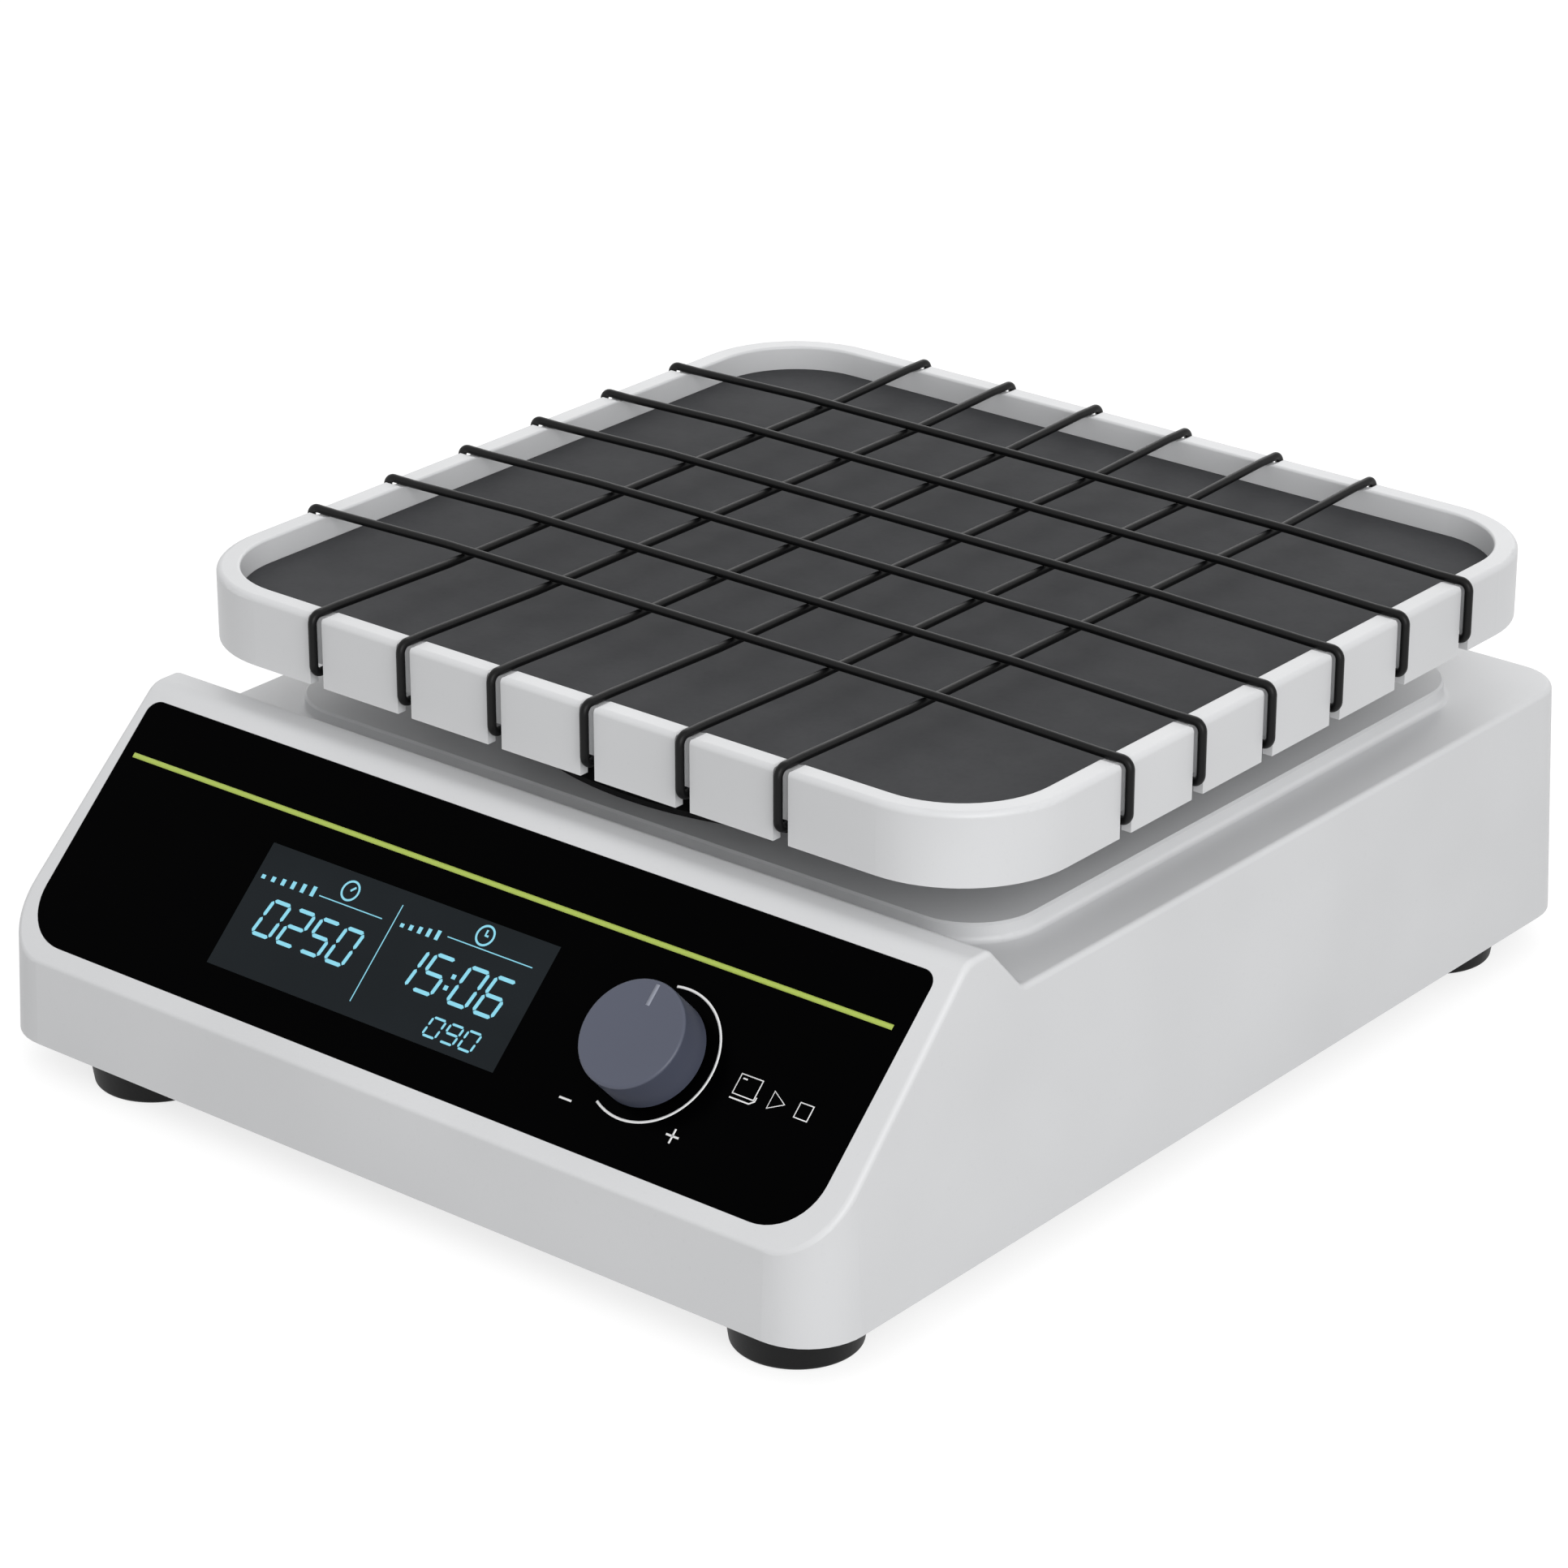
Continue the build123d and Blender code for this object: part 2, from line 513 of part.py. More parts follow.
def upper_housing():
    """The moulded case: an open-bottomed shell with the panel slope, ridge, deck and plateau."""
    outer = rounded_shell()
    rise = PLATEAU_RISE + WALL
    plateau = slab(PLATEAU_WIDTH, PLATEAU_DEPTH, PLATEAU_RADIUS, rise, 0, PLATEAU_Y, DECK_Z - WALL)
    outer += chamfer(plateau.faces().sort_by(Axis.Z)[-1].edges(), PLATEAU_CHAMFER)
    level = [e for e in outer.edges() if abs(e.bounding_box().max.Z - DECK_Z) < TOUCH
             and abs(e.bounding_box().min.Z - DECK_Z) < TOUCH]
    seam = [e for e in level if abs(e.position_at(0.5).X) < PLATEAU_WIDTH / 2 + TOUCH
            and abs(e.position_at(0.5).Y - PLATEAU_Y) < PLATEAU_DEPTH / 2 + TOUCH]
    outer = fillet(seam, PLATEAU_FOOT_RADIUS)
    inner = drafted_block(WALL) & side_profile(WALL)
    inner += slab(PLATEAU_WIDTH - 2 * WALL, PLATEAU_DEPTH - 2 * WALL, PLATEAU_RADIUS - WALL,
                  rise, 0, PLATEAU_Y, DECK_Z - 2 * WALL)
    shell = outer - inner
    extras = drill(CASE_PLACES, CASE_BOSS_RADIUS, PAN_TOP, PAN_TOP + CASE_BOSS_HEIGHT)
    extras.append(rear_box(POCKET_WIDTH + 4 * WALL, POCKET_HEIGHT + 4 * WALL,
                           POCKET_Y - WALL, DEPTH / 2, POCKET_X, POCKET_Z))
    for x, s in BOARD_PLACES:
        extras.append(panel_rod(BOARD_BOSS_RADIUS, BOARD_TOP, -WALL / 2, x, s))
    shell += [extra & outer for extra in extras]
    opening = RectangleRounded(POCKET_WIDTH, POCKET_HEIGHT, POCKET_RADIUS)
    pocket = Pos(POCKET_X, DEPTH / 2, POCKET_Z) * Rot(90, 0, 0) * opening
    cuts = [
        extrude(pocket, amount=POCKET_FLOOR, both=True),
        rod(COLUMN_HOLE_RADIUS, DECK_RISE, 0, TRAY_Y, DECK_Z - 3 * WALL),
        panel_outline(PANEL_GAP, PANEL_THICKNESS * 3),
        panel_box(WINDOW_WIDTH + 2 * WINDOW_GAP, WINDOW_HEIGHT + 2 * WINDOW_GAP,
                  -WINDOW_SINK - WINDOW_THICKNESS, WALL, WINDOW_CENTRE_X, WINDOW_CENTRE_S),
        panel_box(WINDOW_WIDTH - 2 * WINDOW_LEDGE, WINDOW_HEIGHT - 2 * WINDOW_LEDGE, -2 * WALL, WALL,
                  WINDOW_CENTRE_X, WINDOW_CENTRE_S),
        panel_rod(BUSH_RADIUS + SCREW_FIT, -2 * WALL, WALL, KNOB_X, KNOB_S),
        rear_box(INLET_BODY_WIDTH + 2 * CUTOUT_GAP, INLET_BODY_HEIGHT + 2 * CUTOUT_GAP,
                 POCKET_Y - 2 * WALL, POCKET_Y + WALL, INLET_X, POCKET_Z),
        rear_box(SWITCH_BODY_WIDTH + 2 * CUTOUT_GAP, SWITCH_BODY_HEIGHT + 2 * CUTOUT_GAP,
                 POCKET_Y - 2 * WALL, POCKET_Y + WALL, SWITCH_X, POCKET_Z),
    ]
    for side in (-1, 1):
        x = INLET_X + side * INLET_SCREW_SPACING / 2
        cuts.append(rear_rod(INLET_SCREW_RADIUS + SCREW_FIT,
                             POCKET_Y - 2 * WALL, POCKET_Y + WALL, x, POCKET_Z))
    cuts += drill(CASE_PLACES, CASE_SCREW_RADIUS + SCREW_FIT, PAN_TOP, PAN_TOP + CASE_SCREW_LENGTH)
    for x, s in BOARD_PLACES:
        cuts.append(panel_rod(BOARD_SCREW_RADIUS + SCREW_FIT, BOARD_TOP, BOARD_TOP + BOARD_SCREW_DEPTH, x, s))
    return shell - cuts


def base_pan():
    """The steel bottom plate with its weld nuts and screw holes."""
    gap = WALL + PAN_GAP
    pan = slab(WIDTH - 2 * gap, DEPTH - 2 * gap, CORNER_RADIUS - gap, PAN_THICKNESS, 0, 0, BASE_Z)
    pan += [rod(NUT_BOSS_RADIUS, NUT_BOSS_HEIGHT, x, y, PAN_TOP) for x, y in FOOT_PLACES]
    top = PAN_TOP + NUT_BOSS_HEIGHT
    holes = drill(FOOT_PLACES, FOOT_SCREW_RADIUS + SCREW_FIT, BASE_Z, top)
    holes += drill(CASE_PLACES, CASE_SCREW_RADIUS + SCREW_FIT, BASE_Z, PAN_TOP)
    for places in (BRACKET_PLACES, FLANGE_PLACES, LEG_PLACES, SUPPLY_PLACES):
        holes += drill(places, CASE_SCREW_RADIUS + SCREW_FIT, BASE_Z, PAN_TOP)
    return pan - holes


def foot(x, y):
    """A rubber foot: a cone on the bench with a socket for its screw."""
    body = Pos(x, y, FOOT_HEIGHT / 2) * Cone(FOOT_BASE_RADIUS, FOOT_RADIUS, FOOT_HEIGHT)
    body = fillet(body.faces().sort_by(Axis.Z)[0].edges(), FOOT_EDGE)
    body -= rod(FOOT_SOCKET_RADIUS, FOOT_SOCKET_DEPTH, x, y, 0)
    return body - rod(FOOT_SCREW_RADIUS + SCREW_FIT, FOOT_HEIGHT, x, y, 0)


def foot_screws():
    length = FOOT_HEIGHT - FOOT_SOCKET_DEPTH + PAN_THICKNESS + NUT_BOSS_HEIGHT
    return screws_up(FOOT_PLACES, FOOT_SOCKET_DEPTH, FOOT_SCREW_RADIUS, length, FOOT_SCREW_HEAD)


def frame_screws():
    """The like screws that hold the case, all that stands on the pan, and the motor on its plate."""
    places = CASE_PLACES + BRACKET_PLACES + LEG_PLACES + SUPPLY_PLACES + FLANGE_PLACES
    made = screws_up(places, BASE_Z, CASE_SCREW_RADIUS, CASE_SCREW_LENGTH, CASE_SCREW_HEAD)
    seat = MOTOR_PLATE_Z + MOTOR_PLATE_THICKNESS
    return made + screws_down(MOTOR_HOLE_PLACES, seat, CASE_SCREW_RADIUS, CASE_SCREW_LENGTH, CASE_SCREW_HEAD)


def tapped(body, places, low=PAN_TOP, length=CASE_SCREW_LENGTH, radius=CASE_SCREW_RADIUS):
    """The body with screw holes from the level low upwards."""
    return body - drill(places, radius + SCREW_FIT, low, low + length)


def front_panel():
    """The thin sheet on the slope, cut out for the window and the knob's shaft."""
    sheet = panel_outline(0, PANEL_THICKNESS)
    sheet -= panel_box(WINDOW_WIDTH + 2 * WINDOW_GAP, WINDOW_HEIGHT + 2 * WINDOW_GAP, -WALL, WALL,
                       WINDOW_CENTRE_X, WINDOW_CENTRE_S)
    return sheet - panel_rod(BUSH_RADIUS + SCREW_FIT, -WALL, WALL, KNOB_X, KNOB_S)


def display_window():
    return panel_box(WINDOW_WIDTH, WINDOW_HEIGHT, -WINDOW_SINK - WINDOW_THICKNESS, -WINDOW_SINK,
                     WINDOW_CENTRE_X, WINDOW_CENTRE_S)


def display_module():
    """The display behind the window, standing on the control board."""
    edge = WINDOW_LEDGE + MODULE_GAP
    return panel_box(WINDOW_WIDTH - 2 * edge, WINDOW_HEIGHT - 2 * edge, BOARD_TOP,
                     -WINDOW_SINK - WINDOW_THICKNESS - MODULE_CLEAR, WINDOW_CENTRE_X, WINDOW_CENTRE_S)


def control_board():
    board = panel_box(BOARD_WIDTH, BOARD_HEIGHT, BOARD_TOP - BOARD_THICKNESS, BOARD_TOP, BOARD_X, BOARD_S)
    radius = BOARD_SCREW_RADIUS + SCREW_FIT
    return board - [panel_rod(radius, BOARD_TOP - WALL, BOARD_TOP + WALL, x, s) for x, s in BOARD_PLACES]


def board_screws():
    length = BOARD_THICKNESS + BOARD_SCREW_DEPTH - SCREW_FIT
    one = screw(BOARD_SCREW_RADIUS, length, BOARD_SCREW_HEAD, BOARD_SCREW_HEAD_HEIGHT)
    return [PANEL * Pos(x, s, BOARD_TOP - BOARD_THICKNESS) * one for x, s in BOARD_PLACES]


def encoder():
    """The knob's encoder: its case on the board and its threaded bush through the slope."""
    body = panel_box(ENCODER_WIDTH, ENCODER_WIDTH, BOARD_TOP, -WALL, KNOB_X, KNOB_S)
    body += panel_rod(BUSH_RADIUS, -WALL, BUSH_LENGTH - WALL, KNOB_X, KNOB_S)
    return body - panel_rod(ENCODER_SHAFT_RADIUS + SHAFT_FIT, PLUNGER_STOP, BUSH_LENGTH, KNOB_X, KNOB_S)


def encoder_nut():
    nut = extrude(RegularPolygon(NUT_RADIUS, 6), amount=NUT_THICKNESS)
    return PANEL * Pos(KNOB_X, KNOB_S, 0) * (nut - Cylinder(BUSH_RADIUS + SCREW_FIT, NUT_THICKNESS * 3))


def encoder_plunger():
    """The disc under the shaft that works the push switch: it slides with the knob but doesn't turn."""
    low = PLUNGER_STOP + KNOB_TRAVEL + PLUNGER_GAP
    return panel_rod(ENCODER_SHAFT_RADIUS, low, SHAFT_FOOT, KNOB_X, KNOB_S)


def encoder_shaft():
    """The shaft that the knob sits on: round in the bush, with a flat in the knob."""
    high = KNOB_LIFT + KNOB_HEIGHT - KNOB_WALL - SHAFT_FIT
    flat_low = BUSH_LENGTH - WALL + KNOB_TRAVEL
    shaft = panel_rod(ENCODER_SHAFT_RADIUS, SHAFT_FOOT, high, KNOB_X, KNOB_S)
    return shaft - panel_box(ENCODER_SHAFT_RADIUS, ENCODER_SHAFT_RADIUS * 2, flat_low, high + 1,
                             KNOB_X + ENCODER_SHAFT_RADIUS, KNOB_S)


def speed_knob():
    """A cup-shaped knob: a rounded front, a thin skirt and a hub that takes the shaft's flat."""
    low, high = KNOB_LIFT, KNOB_LIFT + KNOB_HEIGHT
    knob = Cylinder(KNOB_RADIUS, KNOB_HEIGHT)
    knob = fillet(knob.faces().sort_by(Axis.Z)[-1].edges(), KNOB_EDGE)
    knob = PANEL * Pos(KNOB_X, KNOB_S, (low + high) / 2) * knob
    hollow = panel_rod(KNOB_RADIUS - KNOB_WALL, low - 1, high - KNOB_WALL, KNOB_X, KNOB_S)
    hub_low = BUSH_LENGTH - WALL + 2 * KNOB_TRAVEL
    hub = panel_rod(KNOB_HUB_RADIUS, hub_low, high - KNOB_WALL, KNOB_X, KNOB_S)
    bore = panel_rod(ENCODER_SHAFT_RADIUS + SHAFT_FIT, hub_low - 1, high - KNOB_WALL, KNOB_X, KNOB_S)
    bore -= panel_box(ENCODER_SHAFT_RADIUS, ENCODER_SHAFT_RADIUS * 3, hub_low - 2, high,
                      KNOB_X + ENCODER_SHAFT_RADIUS + SHAFT_FIT, KNOB_S)
    return knob - (hollow - hub) - bore


def mains_inlet():
    """The appliance inlet: a flange with two ears, a body and a socket that narrows at its top."""
    flange_back = POCKET_Y + INLET_FLANGE_THICKNESS
    flange = Pos(INLET_X, flange_back, POCKET_Z) * Rot(90, 0, 0) * RectangleRounded(
        INLET_FLANGE_WIDTH, INLET_FLANGE_HEIGHT, INLET_SCREW_HEAD)
    body = extrude(flange, amount=INLET_FLANGE_THICKNESS)
    body += rear_box(INLET_BODY_WIDTH, INLET_BODY_HEIGHT,
                     POCKET_Y - INLET_BODY_DEPTH, POCKET_Y, INLET_X, POCKET_Z)
    socket = rear_box(SOCKET_WIDTH, SOCKET_HEIGHT, flange_back - SOCKET_DEPTH, flange_back, INLET_X, POCKET_Z)
    upper = [e for e in socket.edges().filter_by(Axis.Y) if e.center().Z > POCKET_Z]
    body -= chamfer(upper, SOCKET_CORNER)
    for side in (-1, 1):
        x = INLET_X + side * INLET_SCREW_SPACING / 2
        body -= rear_rod(INLET_SCREW_RADIUS + SCREW_FIT, POCKET_Y - 1, flange_back + 1, x, POCKET_Z)
    return body


def inlet_pins():
    """The three flat pins, seated in the back of the socket."""
    back = POCKET_Y + INLET_FLANGE_THICKNESS - SOCKET_DEPTH
    low, high = POCKET_Z - EARTH_OFFSET / 2, POCKET_Z + EARTH_OFFSET / 2
    places = [(INLET_X - PIN_SPACING, low), (INLET_X + PIN_SPACING, low), (INLET_X, high)]
    return [rear_box(PIN_WIDTH, PIN_HEIGHT, back, back + PIN_LENGTH, x, z) for x, z in places]


def inlet_screws():
    seat = POCKET_Y + INLET_FLANGE_THICKNESS
    one = screw(INLET_SCREW_RADIUS, INLET_SCREW_LENGTH, INLET_SCREW_HEAD, INLET_SCREW_HEAD_HEIGHT)
    places = [INLET_X + side * INLET_SCREW_SPACING / 2 for side in (-1, 1)]
    return [Pos(x, seat, POCKET_Z) * Rot(90, 0, 0) * one for x in places]


ROCKER_Y = POCKET_Y + SWITCH_FRAME_THICKNESS + ROCKER_STANDOUT - ROCKER_RADIUS


def power_switch():
    """The switch's frame and body, with a round pocket for its rocker and two axle holes."""
    face = POCKET_Y + SWITCH_FRAME_THICKNESS
    frame = RectangleRounded(SWITCH_FRAME_WIDTH, SWITCH_FRAME_HEIGHT, SWITCH_FRAME_RADIUS)
    body = extrude(Pos(SWITCH_X, face, POCKET_Z) * Rot(90, 0, 0) * frame, amount=SWITCH_FRAME_THICKNESS)
    body += rear_box(SWITCH_BODY_WIDTH, SWITCH_BODY_HEIGHT,
                     POCKET_Y - SWITCH_BODY_DEPTH, POCKET_Y, SWITCH_X, POCKET_Z)
    turned = Pos(SWITCH_X, ROCKER_Y, POCKET_Z) * Rot(0, 90, 0)
    body -= turned * Cylinder(ROCKER_RADIUS + ROCKER_GAP, ROCKER_WIDTH + 2 * ROCKER_GAP)
    axle_hole = ROCKER_WIDTH + 2 * (ROCKER_AXLE_LENGTH + SHAFT_FIT)
    return body - turned * Cylinder(ROCKER_AXLE_RADIUS + SHAFT_FIT, axle_hole)


def power_rocker():
    """The rocker: a drum with a shallow V across its face and an axle stub at each end."""
    drum = Rot(0, 90, 0) * Cylinder(ROCKER_RADIUS, ROCKER_WIDTH)
    for side in (-1, 1):
        cut = Pos(0, ROCKER_RADIUS, 0) * Box(ROCKER_WIDTH * 2, ROCKER_RADIUS * 2, ROCKER_RADIUS * 4)
        tilt = side * ROCKER_TILT
        wedge = Pos(0, ROCKER_FACE, 0) * Rot(-tilt, 0, 0) * cut
        half = Pos(0, 0, side * ROCKER_RADIUS) * Box(ROCKER_WIDTH * 2, ROCKER_RADIUS * 4, ROCKER_RADIUS * 2)
        drum -= wedge & half
    drum += Rot(0, 90, 0) * Cylinder(ROCKER_AXLE_RADIUS, ROCKER_WIDTH + 2 * ROCKER_AXLE_LENGTH)
    return Pos(SWITCH_X, ROCKER_Y, POCKET_Z) * Rot(ROCKER_TILT, 0, 0) * drum


def notch_cuts():
    """The slots down the tray's outer wall and the saddles over its rim, one for each cord end."""
    depth = SKIRT_WALL + NOTCH_EXTRA
    cuts = []
    for x in CORD_X:
        for side in (-1, 1):
            y = TRAY_Y + side * (TRAY_DEPTH / 2 - depth / 2)
            cuts.append(block(NOTCH_WIDTH, depth, TRAY_HEIGHT, x, y, TRAY_BOTTOM))
            y = TRAY_Y + side * (TRAY_DEPTH / 2 - RIM_WIDTH / 2)
            saddle = Rot(90, 0, 0) * Cylinder(SADDLE_RADIUS, RIM_WIDTH + 1)
            cuts.append(Pos(x, y, RIM_Z - SADDLE_DEPTH + SADDLE_RADIUS) * saddle)
    for y in CORD_Y:
        for side in (-1, 1):
            x = side * (TRAY_WIDTH / 2 - depth / 2)
            cuts.append(block(depth, NOTCH_WIDTH, TRAY_HEIGHT, x, y, TRAY_BOTTOM))
            x = side * (TRAY_WIDTH / 2 - RIM_WIDTH / 2)
            saddle = Rot(0, 90, 0) * Cylinder(SADDLE_RADIUS, RIM_WIDTH + 1)
            cuts.append(Pos(x, y, RIM_Z - SADDLE_DEPTH + SADDLE_RADIUS) * saddle)
    return cuts


def tray():
    """The moulded tray: a rim, a sunk floor, a skirt, four bosses and the cords' notches."""
    body = slab(TRAY_WIDTH, TRAY_DEPTH, TRAY_RADIUS, TRAY_HEIGHT, 0, TRAY_Y, TRAY_BOTTOM)
    body = fillet(body.faces().sort_by(Axis.Z)[-1].edges(), RIM_OUTER_RADIUS)
    body -= slab(TRAY_WIDTH - 2 * RIM_WIDTH, TRAY_DEPTH - 2 * RIM_WIDTH, TRAY_RADIUS - RIM_WIDTH,
                 RECESS_DEPTH, 0, TRAY_Y, FLOOR_TOP)
    inner = [e for e in body.edges() if e.bounding_box().min.Z > RIM_Z - TOUCH
             and abs(e.position_at(0.5).X) < TRAY_WIDTH / 2 - RIM_WIDTH + TOUCH
             and abs(e.position_at(0.5).Y - TRAY_Y) < TRAY_DEPTH / 2 - RIM_WIDTH + TOUCH]
    body = fillet(inner, RIM_INNER_RADIUS)
    body -= slab(TRAY_WIDTH - 2 * SKIRT_WALL, TRAY_DEPTH - 2 * SKIRT_WALL, TRAY_RADIUS - SKIRT_WALL,
                 STEP_HEIGHT, 0, TRAY_Y, TRAY_BOTTOM)
    body -= slab(TRAY_WIDTH - 2 * STEP_WIDTH, TRAY_DEPTH - 2 * STEP_WIDTH, TRAY_RADIUS - STEP_WIDTH,
                 FLOOR_BOTTOM - TRAY_BOTTOM, 0, TRAY_Y, TRAY_BOTTOM)
    body += drill(TRAY_BOSS_PLACES, TRAY_BOSS_RADIUS, PLATE_TOP, FLOOR_BOTTOM)
    body -= notch_cuts()
    body -= drill(TRAY_BOSS_PLACES, MACHINE_SCREW_RADIUS + SCREW_FIT, PLATE_TOP, FLOOR_TOP)
    seat = FLOOR_TOP - SCREW_HEAD_HEIGHT - SCREW_FIT
    return body - drill(TRAY_BOSS_PLACES, MACHINE_SCREW_HEAD + SCREW_FIT, seat, RIM_Z)


def tray_mat():
    """The rubber sheet on the tray's floor."""
    gap = RIM_WIDTH + MAT_GAP
    width, depth = TRAY_WIDTH - 2 * gap, TRAY_DEPTH - 2 * gap
    return slab(width, depth, TRAY_RADIUS - gap, MAT_THICKNESS, 0, TRAY_Y, FLOOR_TOP)


def tray_screws():
    seat = FLOOR_TOP - SCREW_HEAD_HEIGHT - SCREW_FIT
    return screws_down(TRAY_BOSS_PLACES, seat, MACHINE_SCREW_RADIUS, seat - PLATE_Z, MACHINE_SCREW_HEAD)


def cord_loop(low, high, first, last, lift):
    """A closed cord round the tray, in a plane: over the rims, across, down and back under the floor.

    low and high are the tray's outer faces along the cord, first and last the outermost cords
    that it crosses, and lift is how far it stands above (or below) its neighbours where they cross."""
    start, end = low - CORD_STANDOUT, high + CORD_STANDOUT
    rim_in = RIM_WIDTH + 2 * CORD_RADIUS
    step_in = STEP_WIDTH + 2 * CORD_RADIUS
    points = [
        (start, RIM_CORD_Z), (low + rim_in, RIM_CORD_Z), (first - CROSS_LEAD, RIM_CORD_Z + lift),
        (last + CROSS_LEAD, RIM_CORD_Z + lift), (high - rim_in, RIM_CORD_Z), (end, RIM_CORD_Z),
        (end, LOWER_CORD_Z), (high - step_in, LOWER_CORD_Z), (last + CROSS_LEAD, LOWER_CORD_Z - lift),
        (first - CROSS_LEAD, LOWER_CORD_Z - lift), (low + step_in, LOWER_CORD_Z), (start, LOWER_CORD_Z),
    ]
    bends = [CORD_BEND if point[0] in (start, end) else CORD_EASE for point in points]
    return FilletPolyline(*points, radius=bends, close=True)


def cord(plane, low, high, first, last, lift):
    """One elastic cord as a round section swept along its loop."""
    path = plane * cord_loop(low, high, first, last, lift)
    section = Plane(origin=path @ 0, z_dir=path % 0) * Circle(CORD_RADIUS)
    return sweep(section, path=path)


def cords_along_y():
    """The cords that run from the front rim to the rear rim, under the others."""
    low, high = TRAY_Y - TRAY_DEPTH / 2, TRAY_Y + TRAY_DEPTH / 2
    planes = [Plane(origin=(x, 0, 0), x_dir=(0, 1, 0), z_dir=(1, 0, 0)) for x in CORD_X]
    return [cord(plane, low, high, CORD_Y[0], CORD_Y[-1], -CROSS_OFFSET) for plane in planes]


def cords_along_x():
    """The cords that run from the left rim to the right rim, over the others."""
    low, high = -TRAY_WIDTH / 2, TRAY_WIDTH / 2
    planes = [Plane(origin=(0, y, 0), x_dir=(1, 0, 0), z_dir=(0, -1, 0)) for y in CORD_Y]
    return [cord(plane, low, high, CORD_X[0], CORD_X[-1], CROSS_OFFSET) for plane in planes]


def support_plate():
    """The moving plate under the tray, on four posts."""
    plate = slab(PLATE_WIDTH, PLATE_DEPTH, PLATE_RADIUS, PLATE_THICKNESS, 0, TRAY_Y, PLATE_Z)
    plate -= drill(TRAY_BOSS_PLACES, MACHINE_SCREW_RADIUS + SCREW_FIT, PLATE_Z, PLATE_TOP)
    plate -= drill(POST_PLACES, MACHINE_SCREW_RADIUS + SCREW_FIT, PLATE_Z, PLATE_TOP)
    seat = PLATE_TOP - SCREW_HEAD_HEIGHT - SCREW_FIT
    return plate - drill(POST_PLACES, MACHINE_SCREW_HEAD + SCREW_FIT, seat, PLATE_TOP)


def posts():
    """Four round posts from the carriage to the plate, tapped at both ends."""
    height = PLATE_Z - CARRIAGE_TOP
    deep = MACHINE_SCREW_LENGTH - PLATE_THICKNESS + SCREW_HEAD_HEIGHT + SCREW_TIP_GAP
    made = []
    for x, y in POST_PLACES:
        post = rod(POST_RADIUS, height, x, y, CARRIAGE_TOP)
        post -= rod(MACHINE_SCREW_RADIUS + SCREW_FIT, deep, x, y, CARRIAGE_TOP)
        made.append(post - rod(MACHINE_SCREW_RADIUS + SCREW_FIT, deep, x, y, PLATE_Z - deep))
    return made


def post_screws():
    """The screws at both ends of the posts."""
    seat = PLATE_TOP - SCREW_HEAD_HEIGHT - SCREW_FIT
    radius, length = MACHINE_SCREW_RADIUS, MACHINE_SCREW_LENGTH
    upper = screws_down(POST_PLACES, seat, radius, length - PLATE_THICKNESS, MACHINE_SCREW_HEAD)
    return upper + screws_up(POST_PLACES, CARRIAGE_Z, radius, length, MACHINE_SCREW_HEAD)


def carriage_plate():
    """The plate that slides: bearing blocks and yoke below it, posts above it."""
    plate = slab(CARRIAGE_WIDTH, CARRIAGE_DEPTH, WALL, CARRIAGE_THICKNESS, 0, TRAY_Y, CARRIAGE_Z)
    plate -= drill(POST_PLACES, MACHINE_SCREW_RADIUS + SCREW_FIT, CARRIAGE_Z, CARRIAGE_TOP)
    return plate - drill(YOKE_PLACES + BLOCK_PLACES, CASE_SCREW_RADIUS + SCREW_FIT, CARRIAGE_Z, CARRIAGE_TOP)


def bearing_blocks():
    """Four linear bearing blocks on the guide shafts."""
    made = []
    for x, y in BLOCK_PLACES:
        body = block(BLOCK_LENGTH, BLOCK_WIDTH, BLOCK_DROP + BLOCK_RISE, x, y, SHAFT_Z - BLOCK_DROP)
        body -= Pos(x, y, SHAFT_Z) * Rot(0, 90, 0) * Cylinder(SHAFT_RADIUS + RUN_FIT, BLOCK_LENGTH)
        depth = BLOCK_RISE - SHAFT_RADIUS - BLOCK_ROOF
        made.append(body - rod(CASE_SCREW_RADIUS + SCREW_FIT, depth, x, y, CARRIAGE_Z - depth))
    return made


def carriage_screws():
    """The screws that hold the bearing blocks and the yoke to the carriage plate."""
    radius, head = CASE_SCREW_RADIUS, CASE_SCREW_HEAD
    depth = BLOCK_RISE - SHAFT_RADIUS - BLOCK_ROOF - SCREW_TIP_GAP
    made = screws_down(BLOCK_PLACES, CARRIAGE_TOP, radius, CARRIAGE_THICKNESS + depth, head)
    return made + screws_down(YOKE_PLACES, CARRIAGE_TOP, radius, CASE_SCREW_LENGTH, head)


def guide_shaft(side):
    length = 2 * (BRACKET_X + BRACKET_THICKNESS / 2)
    return Pos(0, TRAY_Y + side * SHAFT_SPACING / 2, SHAFT_Z) * Rot(0, 90, 0) * Cylinder(SHAFT_RADIUS, length)


def shaft_bracket(side):
    """An end bracket that holds both guide shafts."""
    x = side * BRACKET_X
    height = SHAFT_Z + BRACKET_TOP_MARGIN - PAN_TOP
    body = block(BRACKET_THICKNESS, BRACKET_WIDTH, height, x, TRAY_Y, PAN_TOP)
    for end in (-1, 1):
        y = TRAY_Y + end * SHAFT_SPACING / 2
        body -= Pos(x, y, SHAFT_Z) * Rot(0, 90, 0) * Cylinder(SHAFT_RADIUS + RUN_FIT, BRACKET_THICKNESS)
    return tapped(body, [place for place in BRACKET_PLACES if place[0] * side > 0])


